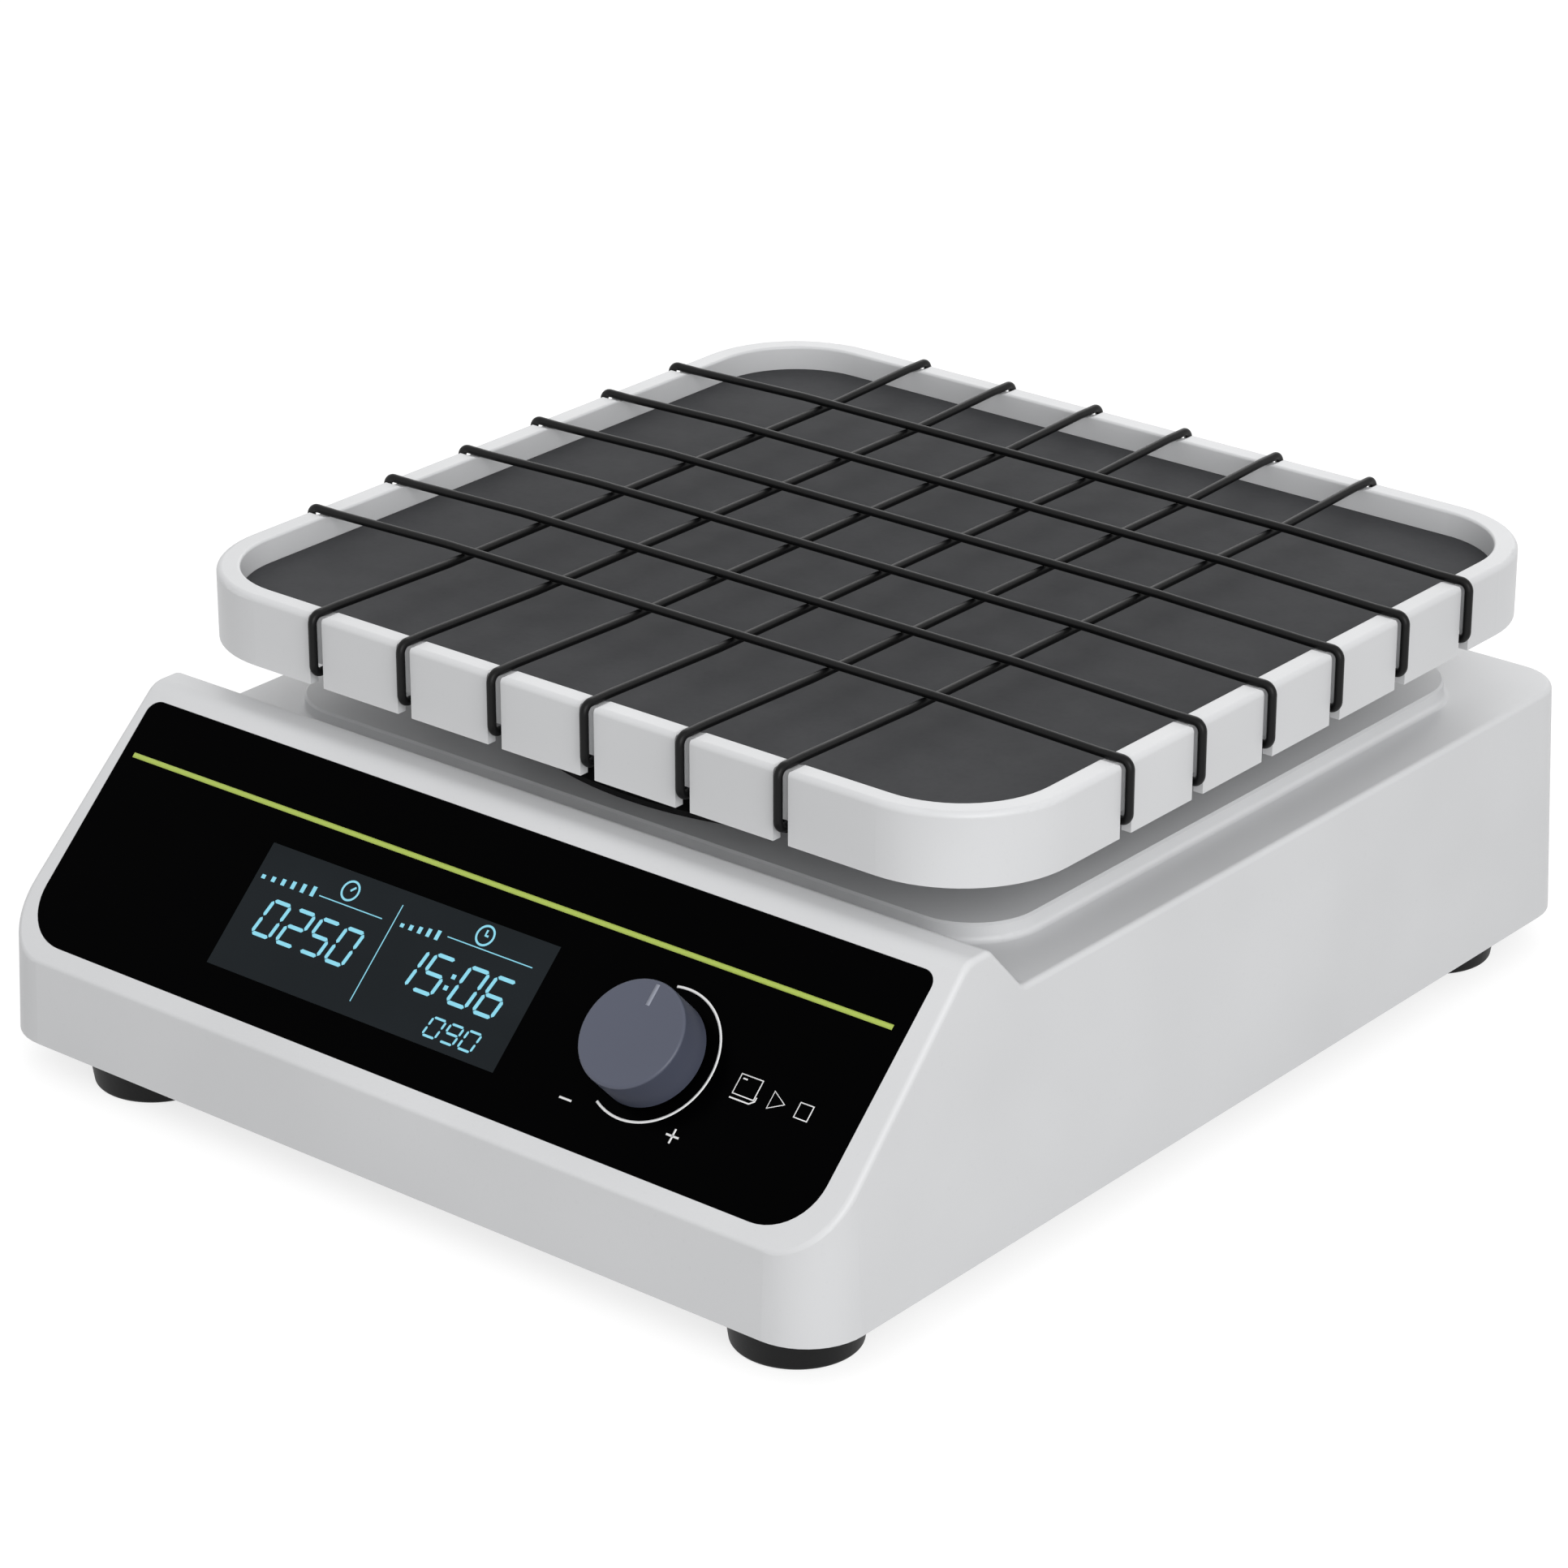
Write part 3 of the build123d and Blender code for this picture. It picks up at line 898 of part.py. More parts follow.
def yoke():
    """The slotted block that the crank's roller drives, opened in X by the crank's play."""
    body = block(YOKE_WIDTH, YOKE_DEPTH, YOKE_HEIGHT, 0, TRAY_Y, CARRIAGE_Z - YOKE_HEIGHT)
    slot_length = 2 * (THROW + ROLLER_RADIUS + YOKE_END_GAP)
    body -= block(2 * YOKE_SLOT, slot_length, YOKE_HEIGHT, 0, TRAY_Y, CARRIAGE_Z - YOKE_HEIGHT)
    deep = CASE_SCREW_LENGTH - CARRIAGE_THICKNESS + SCREW_TIP_GAP
    return body - drill(YOKE_PLACES, CASE_SCREW_RADIUS + SCREW_FIT, CARRIAGE_Z - deep, CARRIAGE_Z)


def crank():
    """The crank: a shaft, a disc and an off-centre pin, in one piece."""
    low = PAN_TOP + CRANK_END_GAP
    body = rod(CRANK_SHAFT_RADIUS, CRANK_Z - low, 0, TRAY_Y, low)
    body += rod(CRANK_RADIUS, CRANK_THICKNESS, 0, TRAY_Y, CRANK_Z)
    return body + rod(PIN_RADIUS, CARRIAGE_Z - CRANK_TOP - PIN_GAP, 0, TRAY_Y + THROW, CRANK_TOP)


def crank_roller():
    """The roller on the crank's pin, in the yoke's slot."""
    y, z = TRAY_Y + THROW, CARRIAGE_Z - YOKE_HEIGHT + ROLLER_LIFT
    return rod(ROLLER_RADIUS, ROLLER_HEIGHT, 0, y, z) - rod(PIN_RADIUS + RUN_FIT, ROLLER_HEIGHT, 0, y, z)


def pulley(radius, bore, y):
    """A flanged pulley with a round bore."""
    rim = BELT_THICKNESS + BELT_GAP + PULLEY_FLANGE
    body = rod(radius, PULLEY_HEIGHT, 0, y, PULLEY_Z)
    for z in (PULLEY_Z, PULLEY_Z + PULLEY_HEIGHT - PULLEY_FLANGE):
        body += rod(radius + rim, PULLEY_FLANGE, 0, y, z)
    return body - rod(bore + SHAFT_FIT, PULLEY_HEIGHT, 0, y, PULLEY_Z)


def belt_face(gap):
    """The flat outline round both pulleys, that far outside them."""
    big, small = CRANK_PULLEY_RADIUS + gap, MOTOR_PULLEY_RADIUS + gap
    lean = math.asin((big - small) / MOTOR_DISTANCE)
    points = []
    for side in (-1, 1):
        for radius, y in ((big, TRAY_Y), (small, MOTOR_Y)):
            points.append((side * radius * math.cos(lean), y - radius * math.sin(lean)))
    left_big, left_small, right_big, right_small = points
    outline = make_face(Polyline(left_big, left_small, right_small, right_big, close=True))
    return outline + Pos(0, TRAY_Y) * Circle(big) + Pos(0, MOTOR_Y) * Circle(small)


def drive_belt():
    """The belt, held a little clear of both pulleys."""
    height = PULLEY_HEIGHT - 2 * PULLEY_FLANGE - 2 * BELT_SIDE_GAP
    z = PULLEY_Z + PULLEY_FLANGE + BELT_SIDE_GAP
    return Pos(0, 0, z) * extrude(belt_face(BELT_GAP + BELT_THICKNESS) - belt_face(BELT_GAP), amount=height)


def crank_bearing():
    """The bearing housing that carries the crank on the pan."""
    body = rod(HOUSING_FLANGE_RADIUS, HOUSING_FLANGE_THICKNESS, 0, TRAY_Y, PAN_TOP)
    body += rod(HOUSING_TUBE_RADIUS, HOUSING_TOP - PAN_TOP, 0, TRAY_Y, PAN_TOP)
    body -= rod(CRANK_SHAFT_RADIUS + RUN_FIT, HOUSING_TOP - PAN_TOP, 0, TRAY_Y, PAN_TOP)
    return tapped(body, FLANGE_PLACES, length=HOUSING_FLANGE_THICKNESS)


def motor():
    """The drive motor under its plate, with a collar and a bore for its shaft."""
    z = MOTOR_PLATE_Z - MOTOR_HEIGHT
    body = rod(MOTOR_RADIUS, MOTOR_HEIGHT, 0, MOTOR_Y, z)
    body = chamfer(body.edges().sort_by(Axis.Z)[0], MOTOR_CHAMFER)
    body += rod(MOTOR_COLLAR_RADIUS, MOTOR_PLATE_THICKNESS, 0, MOTOR_Y, MOTOR_PLATE_Z)
    height = MOTOR_HEIGHT + MOTOR_PLATE_THICKNESS
    body -= rod(MOTOR_SHAFT_RADIUS + RUN_FIT, height, 0, MOTOR_Y, z + MOTOR_WALL)
    deepest = MOTOR_PLATE_Z - CASE_SCREW_LENGTH
    return body - drill(MOTOR_HOLE_PLACES, CASE_SCREW_RADIUS + SCREW_FIT, deepest, MOTOR_PLATE_Z)


def motor_shaft():
    z = MOTOR_PLATE_Z - MOTOR_HEIGHT + MOTOR_WALL + MOTOR_SHAFT_GAP
    return rod(MOTOR_SHAFT_RADIUS, PULLEY_Z + PULLEY_HEIGHT - z, 0, MOTOR_Y, z)


def motor_bracket():
    """The motor's plate on four legs."""
    plate = slab(MOTOR_PLATE, MOTOR_PLATE, MOTOR_LEG_RADIUS, MOTOR_PLATE_THICKNESS, 0, MOTOR_Y, MOTOR_PLATE_Z)
    plate -= rod(MOTOR_COLLAR_RADIUS + CUTOUT_GAP, MOTOR_PLATE_THICKNESS, 0, MOTOR_Y, MOTOR_PLATE_Z)
    plate += drill(LEG_PLACES, MOTOR_LEG_RADIUS, PAN_TOP, MOTOR_PLATE_Z)
    top = MOTOR_PLATE_Z + MOTOR_PLATE_THICKNESS
    plate -= drill(MOTOR_HOLE_PLACES, CASE_SCREW_RADIUS + SCREW_FIT, MOTOR_PLATE_Z, top)
    return tapped(plate, LEG_PLACES)


def dust_boot():
    """The rubber bellows ring between the deck and the moving plate."""
    top = PLATE_Z - BOOT_GAP
    rise = (top - PLATEAU_Z - BOOT_FLANGE) / BOOT_FOLDS
    outer = [(BOOT_RADIUS, PLATEAU_Z), (BOOT_RADIUS, PLATEAU_Z + BOOT_FLANGE)]
    radius, z = BOOT_RADIUS - BOOT_FOLD, PLATEAU_Z + BOOT_FLANGE
    for fold in range(BOOT_FOLDS):
        outer.append((radius - BOOT_FOLD, z))
        outer.append((radius, z + rise / 2))
        radius, z = radius - BOOT_FOLD, z + rise
    outer.append((radius - BOOT_FOLD, z))
    inner = [(r - BOOT_WALL - BOOT_FOLD, h) for r, h in reversed(outer[2:])]
    profile = make_face(Plane.XZ * Polyline(*outer, *inner, (inner[-1][0], PLATEAU_Z), close=True))
    return Pos(0, TRAY_Y, 0) * revolve(profile, Axis.Z)


def power_supply():
    """The supply board with its transformer and capacitor."""
    z = PAN_TOP + SUPPLY_STANDOFF
    board = block(SUPPLY_WIDTH, SUPPLY_DEPTH, BOARD_THICKNESS, SUPPLY_X, SUPPLY_Y, z)
    top = z + BOARD_THICKNESS
    x = SUPPLY_X + TRANSFORMER_X
    board += block(TRANSFORMER_SIZE, TRANSFORMER_SIZE, TRANSFORMER_HEIGHT, x, SUPPLY_Y, top)
    for side in (-1, 1):
        y = SUPPLY_Y + side * CAPACITOR_Y
        board += rod(CAPACITOR_RADIUS, CAPACITOR_HEIGHT, SUPPLY_X + CAPACITOR_X, y, top)
    board += drill(SUPPLY_PLACES, BOARD_BOSS_RADIUS, PAN_TOP, z)
    return tapped(board, SUPPLY_PLACES)


def save(name, shape):
    """Write one node: a solid, or a group of separate solids."""
    if isinstance(shape, list):
        shape = Compound(children=shape)
    export_step(shape, f"parts/{name}.step")


def main():
    os.makedirs("parts", exist_ok=True)
    save("upper_housing", upper_housing())
    save("base_pan", base_pan())
    for name, place in zip(FOOT_NAMES, FOOT_PLACES):
        save(name, foot(*place))
    save("foot_screws", foot_screws())
    save("frame_screws", frame_screws())
    save("front_panel", front_panel())
    save("display_window", display_window())
    save("display_module", display_module())
    save("control_board", control_board())
    save("board_screws", board_screws())
    save("encoder", encoder())
    save("encoder_nut", encoder_nut())
    save("encoder_plunger", encoder_plunger())
    save("encoder_shaft", encoder_shaft())
    save("speed_knob", speed_knob())
    save("mains_inlet", mains_inlet())
    save("inlet_pins", inlet_pins())
    save("inlet_screws", inlet_screws())
    save("power_switch", power_switch())
    save("power_rocker", power_rocker())
    save("tray", tray())
    save("tray_mat", tray_mat())
    save("tray_screws", tray_screws())
    for number, loop in enumerate(cords_along_y(), 1):
        save(f"cord_y_{number}", loop)
    for number, loop in enumerate(cords_along_x(), 1):
        save(f"cord_x_{number}", loop)
    save("support_plate", support_plate())
    save("posts", posts())
    save("post_screws", post_screws())
    save("carriage_plate", carriage_plate())
    save("bearing_blocks", bearing_blocks())
    save("carriage_screws", carriage_screws())
    save("guide_shaft_front", guide_shaft(-1))
    save("guide_shaft_rear", guide_shaft(1))
    save("shaft_bracket_left", shaft_bracket(-1))
    save("shaft_bracket_right", shaft_bracket(1))
    save("yoke", yoke())
    save("crank", crank())
    save("crank_roller", crank_roller())
    save("crank_pulley", pulley(CRANK_PULLEY_RADIUS, CRANK_SHAFT_RADIUS, TRAY_Y))
    save("crank_bearing", crank_bearing())
    save("drive_belt", drive_belt())
    save("motor", motor())
    save("motor_shaft", motor_shaft())
    save("motor_pulley", pulley(MOTOR_PULLEY_RADIUS, MOTOR_SHAFT_RADIUS, MOTOR_Y))
    save("motor_bracket", motor_bracket())
    save("dust_boot", dust_boot())
    save("power_supply", power_supply())


main()
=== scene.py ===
import bpy
import bmesh
import json
import math
from mathutils import Matrix, Vector


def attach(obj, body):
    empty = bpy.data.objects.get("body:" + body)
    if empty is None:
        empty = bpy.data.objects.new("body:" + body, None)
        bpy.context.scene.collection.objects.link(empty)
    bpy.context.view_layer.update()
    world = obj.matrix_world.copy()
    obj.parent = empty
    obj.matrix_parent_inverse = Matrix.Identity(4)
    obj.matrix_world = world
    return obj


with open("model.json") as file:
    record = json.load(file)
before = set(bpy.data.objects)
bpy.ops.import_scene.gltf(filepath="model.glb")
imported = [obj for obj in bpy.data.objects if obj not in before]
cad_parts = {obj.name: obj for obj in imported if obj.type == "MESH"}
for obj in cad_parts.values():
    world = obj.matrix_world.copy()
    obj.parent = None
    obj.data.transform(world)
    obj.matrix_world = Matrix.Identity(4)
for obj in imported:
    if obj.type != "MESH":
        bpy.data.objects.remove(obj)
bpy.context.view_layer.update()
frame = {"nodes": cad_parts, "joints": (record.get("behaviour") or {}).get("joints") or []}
NODES = frame["nodes"]

# Camera, fitted to the photograph: the eye in metres, its bearing, and the lens for a 36 mm sensor
EYE = Vector((1.0345, -1.2726, 0.8009))
AZIMUTH = math.radians(39.337)
ELEVATION = math.radians(23.748)
LENS = 119.76

# The control panel's slope, taken from the knob's axis. Panel places are in millimetres:
# x to the right, s up the slope from the fold, and the lift off its surface.
MM = 0.001
KNOB_TURN = next(joint for joint in frame["joints"] if joint["name"] == "knob_turn")
KNOB_CENTRE = Vector(KNOB_TURN["pos_m"])
SLOPE_NORMAL = Vector(KNOB_TURN["axis"]).normalized()
SLOPE_UP = SLOPE_NORMAL.cross(Vector((1, 0, 0)))
KNOB_X = 87.4
KNOB_S = 44.8
KNOB_FACE = 15.8
KNOB_RADIUS = 18.7
PANEL_RIGHT = 162.0
PANEL_LEFT = -166.0
WINDOW_LIFT = -0.1
PRINT_LIFT = 0.03
PRINT_THICKNESS = 0.08

# Artwork on the panel
STRIPE_S = 78.5
STRIPE_WIDTH = 1.8
ARC_RADIUS = 23.1
ARC_START = 101.0
ARC_END = -118.0
ARC_WIDTH = 0.85
ARC_STEPS = 72
ARC_TAPER = 0.2
SIGN_WIDTH = 0.7
SIGN_HALF = 2.5
POINTER_WIDTH = 1.5
POINTER_LENGTH = 7.4
POINTER_INSET = 1.4

# Digits of the display: left end, foot, digit width, height, pitch and bar width
DIGIT_SLANT = 0.17
DIGIT_GAP = 0.28
LARGE_LEFT = (-81.0, 35.6, 7.6, 12.6, 11.0, 1.35)
LARGE_RIGHT = (-21.0, 37.0, 7.8, 13.4, 11.2, 1.35)
SMALL_RIGHT = (2.6, 24.2, 5.4, 6.6, 7.6, 0.8)
COLON_GAP = 3.6
RING_RADIUS = 3.4

SEGMENTS = {
    "a": ((0, 1), (1, 1)), "b": ((1, 1), (1, 0.5)), "c": ((1, 0.5), (1, 0)), "d": ((0, 0), (1, 0)),
    "e": ((0, 0), (0, 0.5)), "f": ((0, 0.5), (0, 1)), "g": ((0, 0.5), (1, 0.5))}
LIT = {"0": "abcdef", "1": "bc", "2": "abged", "3": "abgcd", "5": "afgcd", "6": "afgedc", "9": "abcdfg"}


# Shader maths

class Wire:
    """A shader socket that Python's operators work on."""

    def __init__(self, finish, socket):
        self.finish = finish
        self.socket = socket

    def __add__(self, other):
        return self.finish.maths("ADD", self, other)

    def __sub__(self, other):
        return self.finish.maths("SUBTRACT", self, other)

    def __rsub__(self, other):
        return self.finish.maths("SUBTRACT", other, self)

    def __mul__(self, other):
        return self.finish.maths("MULTIPLY", self, other)

    __radd__ = __add__
    __rmul__ = __mul__


class Finish:
    """One material: a Principled surface, its sockets set by name."""

    def __init__(self, name, **surface):
        self.material = bpy.data.materials.new(name)
        self.material.use_nodes = True
        self.tree = self.material.node_tree
        self.tree.nodes.clear()
        self.surface = self.node("ShaderNodeBsdfPrincipled", inputs=surface)
        self.node("ShaderNodeOutputMaterial", inputs={"Surface": self.surface.outputs[0]})
        self.place = self.node("ShaderNodeTexCoord").outputs["Object"]

    def node(self, kind, settings=None, inputs=None):
        """A node of this kind, with its settings first and then its sockets' values or links."""
        made = self.tree.nodes.new(kind)
        for name, value in (settings or {}).items():
            setattr(made, name, value)
        for name, value in (inputs or {}).items():
            self.feed(made.inputs[name], value)
        return made

    def feed(self, socket, value):
        if isinstance(value, Wire):
            value = value.socket
        if isinstance(value, bpy.types.NodeSocket):
            self.tree.links.new(value, socket)
        elif isinstance(value, (tuple, list)) and len(value) == 3 and socket.type == "RGBA":
            socket.default_value = (*value, 1.0)
        else:
            socket.default_value = value

    def maths(self, operation, first, second):
        made = self.node("ShaderNodeMath", {"operation": operation}, {0: first, 1: second})
        return Wire(self, made.outputs[0])

    def noise(self, size, detail=3.0, stretch=(1, 1, 1), roughness=0.5):
        """Noise with features about the given size in metres, from 0 to 1."""
        place = self.node("ShaderNodeMapping", inputs={"Vector": self.place, "Scale": stretch})
        made = self.node("ShaderNodeTexNoise", inputs={
            "Vector": place.outputs[0], "Scale": 1 / size, "Detail": detail, "Roughness": roughness})
        return Wire(self, made.outputs[0])

    def band(self, wire, low, high):
        """The wire's value spread from low and high to 0 and 1, and held between them."""
        made = self.node("ShaderNodeMapRange", {"clamp": True},
                         {"Value": wire, "From Min": low, "From Max": high})
        return Wire(self, made.outputs[0])

    def blend(self, mask, first, second):
        """One colour where the mask is 0 and the other where it is 1."""
        made = self.node("ShaderNodeMix", {"data_type": "RGBA"}, {"Factor": mask})
        self.feed(made.inputs[6], first)
        self.feed(made.inputs[7], second)
        return made.outputs[2]

    def bump(self, height, depth, strength=1.0, under=None):
        """Surface relief of the given depth in metres."""
        inputs = {"Height": height, "Distance": depth, "Strength": strength}
        if under:
            inputs["Normal"] = under
        return self.node("ShaderNodeBump", inputs=inputs).outputs[0]

    def set(self, **sockets):
        for name, value in sockets.items():
            self.feed(self.surface.inputs[name.replace("_", " ")], value)
        return self


def shade(colour, factor):
    return tuple(channel * factor for channel in colour)


def moulded(name, colour, roughness=0.42, grain=0.0006, depth=0.00001, specular=0.5, drift=0.035):
    """Moulded plastic: a fine even grain, faint flow clouds and small changes of gloss."""
    finish = Finish(name, **{"IOR": 1.46, "Specular IOR Level": specular})
    clouds = finish.band(finish.noise(0.09, 2.0), 0.3, 0.7)
    speck = finish.noise(0.0014, 2.0)
    tone = finish.blend(clouds, shade(colour, 1 - drift), shade(colour, 1 + drift))
    tone = finish.blend(finish.band(speck, 0.62, 0.8) * 0.25, tone, shade(colour, 0.9))
    relief = finish.bump(finish.noise(grain, 2.0), depth)
    gloss = roughness + 0.08 * (finish.noise(0.02, 3.0) - 0.5)
    return finish.set(Base_Color=tone, Roughness=gloss, Normal=relief).material


def rubber(name, colour, roughness=0.62, grain=0.0009, depth=0.00003, bloom=0.35, specular=0.3):
    """Rubber: a fine grain with a patchy paler bloom."""
    finish = Finish(name, **{"IOR": 1.5, "Specular IOR Level": specular})
    patches = finish.band(finish.noise(0.035, 4.0, roughness=0.6), 0.35, 0.7)
    fine = finish.noise(0.0022, 3.0)
    tone = finish.blend(patches * bloom, colour, shade(colour, 1.5))
    tone = finish.blend(finish.band(fine, 0.45, 0.75) * 0.3, tone, shade(colour, 0.75))
    relief = finish.bump(finish.noise(grain, 3.0), depth)
    gloss = roughness + 0.14 * (finish.noise(0.012, 3.0) - 0.5)
    return finish.set(Base_Color=tone, Roughness=gloss, Normal=relief).material


def metal(name, colour, roughness=0.32, lay=(1, 12, 12), grain=0.004, depth=0.000006, scratches=0.12):
    """Machined metal: fine lines along one direction, small scratches and dull patches."""
    finish = Finish(name, Metallic=1.0)
    lines = finish.noise(grain, 4.0, lay)
    patches = finish.band(finish.noise(0.03, 3.0), 0.35, 0.7)
    tone = finish.blend(lines, shade(colour, 0.88), shade(colour, 1.06))
    tone = finish.blend(patches * scratches, tone, shade(colour, 0.7))
    relief = finish.bump(lines, depth)
    gloss = roughness + 0.18 * (lines - 0.5) + 0.08 * patches
    return finish.set(Base_Color=tone, Roughness=gloss, Normal=relief).material


def glossy(name, colour, roughness=0.12, specular=0.05):
    """A smooth glossy film or window, with faint smears in its gloss."""
    finish = Finish(name, **{"IOR": 1.5, "Specular IOR Level": specular})
    smear = finish.band(finish.noise(0.05, 4.0, (1, 1, 2)), 0.4, 0.75)
    tone = finish.blend(smear * 0.5, colour, shade(colour, 1.35))
    gloss = roughness + 0.08 * smear
    relief = finish.bump(finish.noise(0.02, 1.0), 0.000004)
    return finish.set(Base_Color=tone, Roughness=gloss, Normal=relief).material


def printed(name, colour, roughness=0.45):
    """Screen-printed ink: slightly uneven in tone and gloss."""
    finish = Finish(name, Roughness=roughness)
    mottle = finish.noise(0.0012, 2.0)
    tone = finish.blend(mottle, shade(colour, 0.94), shade(colour, 1.04))
    return finish.set(Base_Color=tone, Roughness=roughness + 0.1 * (mottle - 0.5)).material


def lit(name, colour):
    """The glowing marks of the display, their glow a little uneven."""
    finish = Finish(name, **{"Base Color": shade(colour, 0.2), "Roughness": 0.3})
    mottle = finish.noise(0.003, 1.0)
    finish.set(Emission_Color=finish.blend(mottle, shade(colour, 0.88), shade(colour, 1.08)))
    finish.surface.inputs["Emission Strength"].default_value = 0.92
    return finish.material


def circuit_board(name, colour, copper):
    """A lacquered board with faint tracks under its colour."""
    finish = Finish(name, **{"IOR": 1.5, "Coat Roughness": 0.2})
    cells = finish.node("ShaderNodeTexVoronoi", {"feature": "DISTANCE_TO_EDGE"},
                        {"Vector": finish.place, "Scale": 260.0, "Randomness": 0.35})
    tracks = 1 - finish.band(Wire(finish, cells.outputs[0]), 0.04, 0.09)
    tone = finish.blend(tracks * 0.35, colour, copper)
    relief = finish.bump(tracks, 0.00002)
    return finish.set(Base_Color=tone, Roughness=0.38 + 0.1 * tracks, Normal=relief).material


HOUSING = moulded("housing_plastic", (0.63, 0.635, 0.645), roughness=0.4)
TRAY = moulded("tray_plastic", (0.63, 0.635, 0.645), roughness=0.38)
FILM = glossy("panel_film", (0.0004, 0.0004, 0.0005), roughness=0.2, specular=0.01)
WINDOW = glossy("display_window", (0.0110, 0.0140, 0.0165), roughness=0.22)
MAT = rubber("tray_mat_rubber", (0.043, 0.044, 0.047), roughness=0.75, grain=0.0011, bloom=0.2, specular=0.2)
CORD = rubber("elastic_cord", (0.002, 0.002, 0.0022), roughness=0.4, grain=0.0007, bloom=0.2, specular=0.2)
FOOT = rubber("foot_rubber", (0.003, 0.003, 0.0033), roughness=0.5, bloom=0.25, specular=0.2)
BOOT = rubber("bellows_rubber", (0.009, 0.009, 0.0095), roughness=0.6)
BELT = rubber("belt_rubber", (0.012, 0.012, 0.012), roughness=0.65)
KNOB = moulded("knob_plastic", (0.072, 0.08, 0.115), roughness=0.38, grain=0.0004, depth=0.000006, drift=0.06)
BLACK_PLASTIC = moulded("black_plastic", (0.012, 0.012, 0.013), roughness=0.4)
WHITE_PLASTIC = moulded("natural_plastic", (0.75, 0.73, 0.68), roughness=0.45)
ALUMINIUM = metal("milled_aluminium", (0.72, 0.73, 0.75), roughness=0.34)
TURNED = metal("turned_aluminium", (0.68, 0.69, 0.7), roughness=0.3, lay=(10, 10, 1))
STEEL = metal("machined_steel", (0.52, 0.52, 0.54), roughness=0.36)
ZINC = metal("zinc_plate", (0.6, 0.61, 0.62), roughness=0.34, grain=0.002)
GROUND = metal("ground_shaft", (0.74, 0.75, 0.77), roughness=0.14, lay=(1, 20, 20), scratches=0.05)
BRASS = metal("brass", (0.78, 0.6, 0.28), roughness=0.28)
PAN_PAINT = moulded("pan_paint", (0.3, 0.305, 0.31), roughness=0.5, grain=0.0012, depth=0.00003)
MOTOR_PAINT = moulded("motor_paint", (0.02, 0.02, 0.022), roughness=0.45, grain=0.001, depth=0.00002)
BOARD = circuit_board("circuit_board", (0.012, 0.12, 0.045), (0.05, 0.24, 0.1))
STRIPE_INK = printed("stripe_ink", (0.40, 0.515, 0.085))
WHITE_INK = printed("white_ink", (0.8, 0.8, 0.8))
POINTER_INK = printed("pointer_ink", (0.23, 0.245, 0.30))
GLOW = lit("display_glow", (0.22, 0.60, 0.74))

CORDS = [f"cord_{way}_{number}" for way in "yx" for number in range(1, 7)]
FEET = ["foot_front_left", "foot_front_right", "foot_rear_left", "foot_rear_right"]
WEARS = {
    "upper_housing": HOUSING, "tray": TRAY, "tray_mat": MAT, "speed_knob": KNOB, "dust_boot": BOOT,
    "front_panel": FILM, "display_window": WINDOW, "display_module": BLACK_PLASTIC,
    "base_pan": PAN_PAINT, "control_board": BOARD, "power_supply": BOARD, "drive_belt": BELT,
    "encoder": BLACK_PLASTIC, "encoder_plunger": WHITE_PLASTIC, "encoder_nut": ZINC, "encoder_shaft": GROUND,
    "mains_inlet": BLACK_PLASTIC, "power_switch": BLACK_PLASTIC, "power_rocker": BLACK_PLASTIC,
    "inlet_pins": BRASS, "support_plate": ALUMINIUM, "carriage_plate": ALUMINIUM, "posts": TURNED,
    "bearing_blocks": ALUMINIUM, "shaft_bracket_left": ALUMINIUM, "shaft_bracket_right": ALUMINIUM,
    "guide_shaft_front": GROUND, "guide_shaft_rear": GROUND, "motor_shaft": GROUND, "yoke": WHITE_PLASTIC,
    "crank": STEEL, "crank_roller": BRASS, "crank_pulley": TURNED, "motor_pulley": TURNED,
    "crank_bearing": ALUMINIUM, "motor": MOTOR_PAINT, "motor_bracket": STEEL}
WEARS.update({name: CORD for name in CORDS})
WEARS.update({name: FOOT for name in FEET})
WEARS.update({name: ZINC for name in NODES if name.endswith("_screws")})

for name, node in NODES.items():
    node.data.materials.clear()
    node.data.materials.append(WEARS[name])


# Pieces laid on the panel

def panel_place(lift=0.0):
    """The matrix from panel millimetres to the row's metres, at a lift off the slope."""
    origin = KNOB_CENTRE - SLOPE_UP * KNOB_S * MM - Vector((KNOB_X * MM, 0, 0)) + SLOPE_NORMAL * lift * MM
    columns = Matrix((Vector((MM, 0, 0)), SLOPE_UP * MM, SLOPE_NORMAL * MM)).transposed()
    return Matrix.Translation(origin) @ columns.to_4x4()


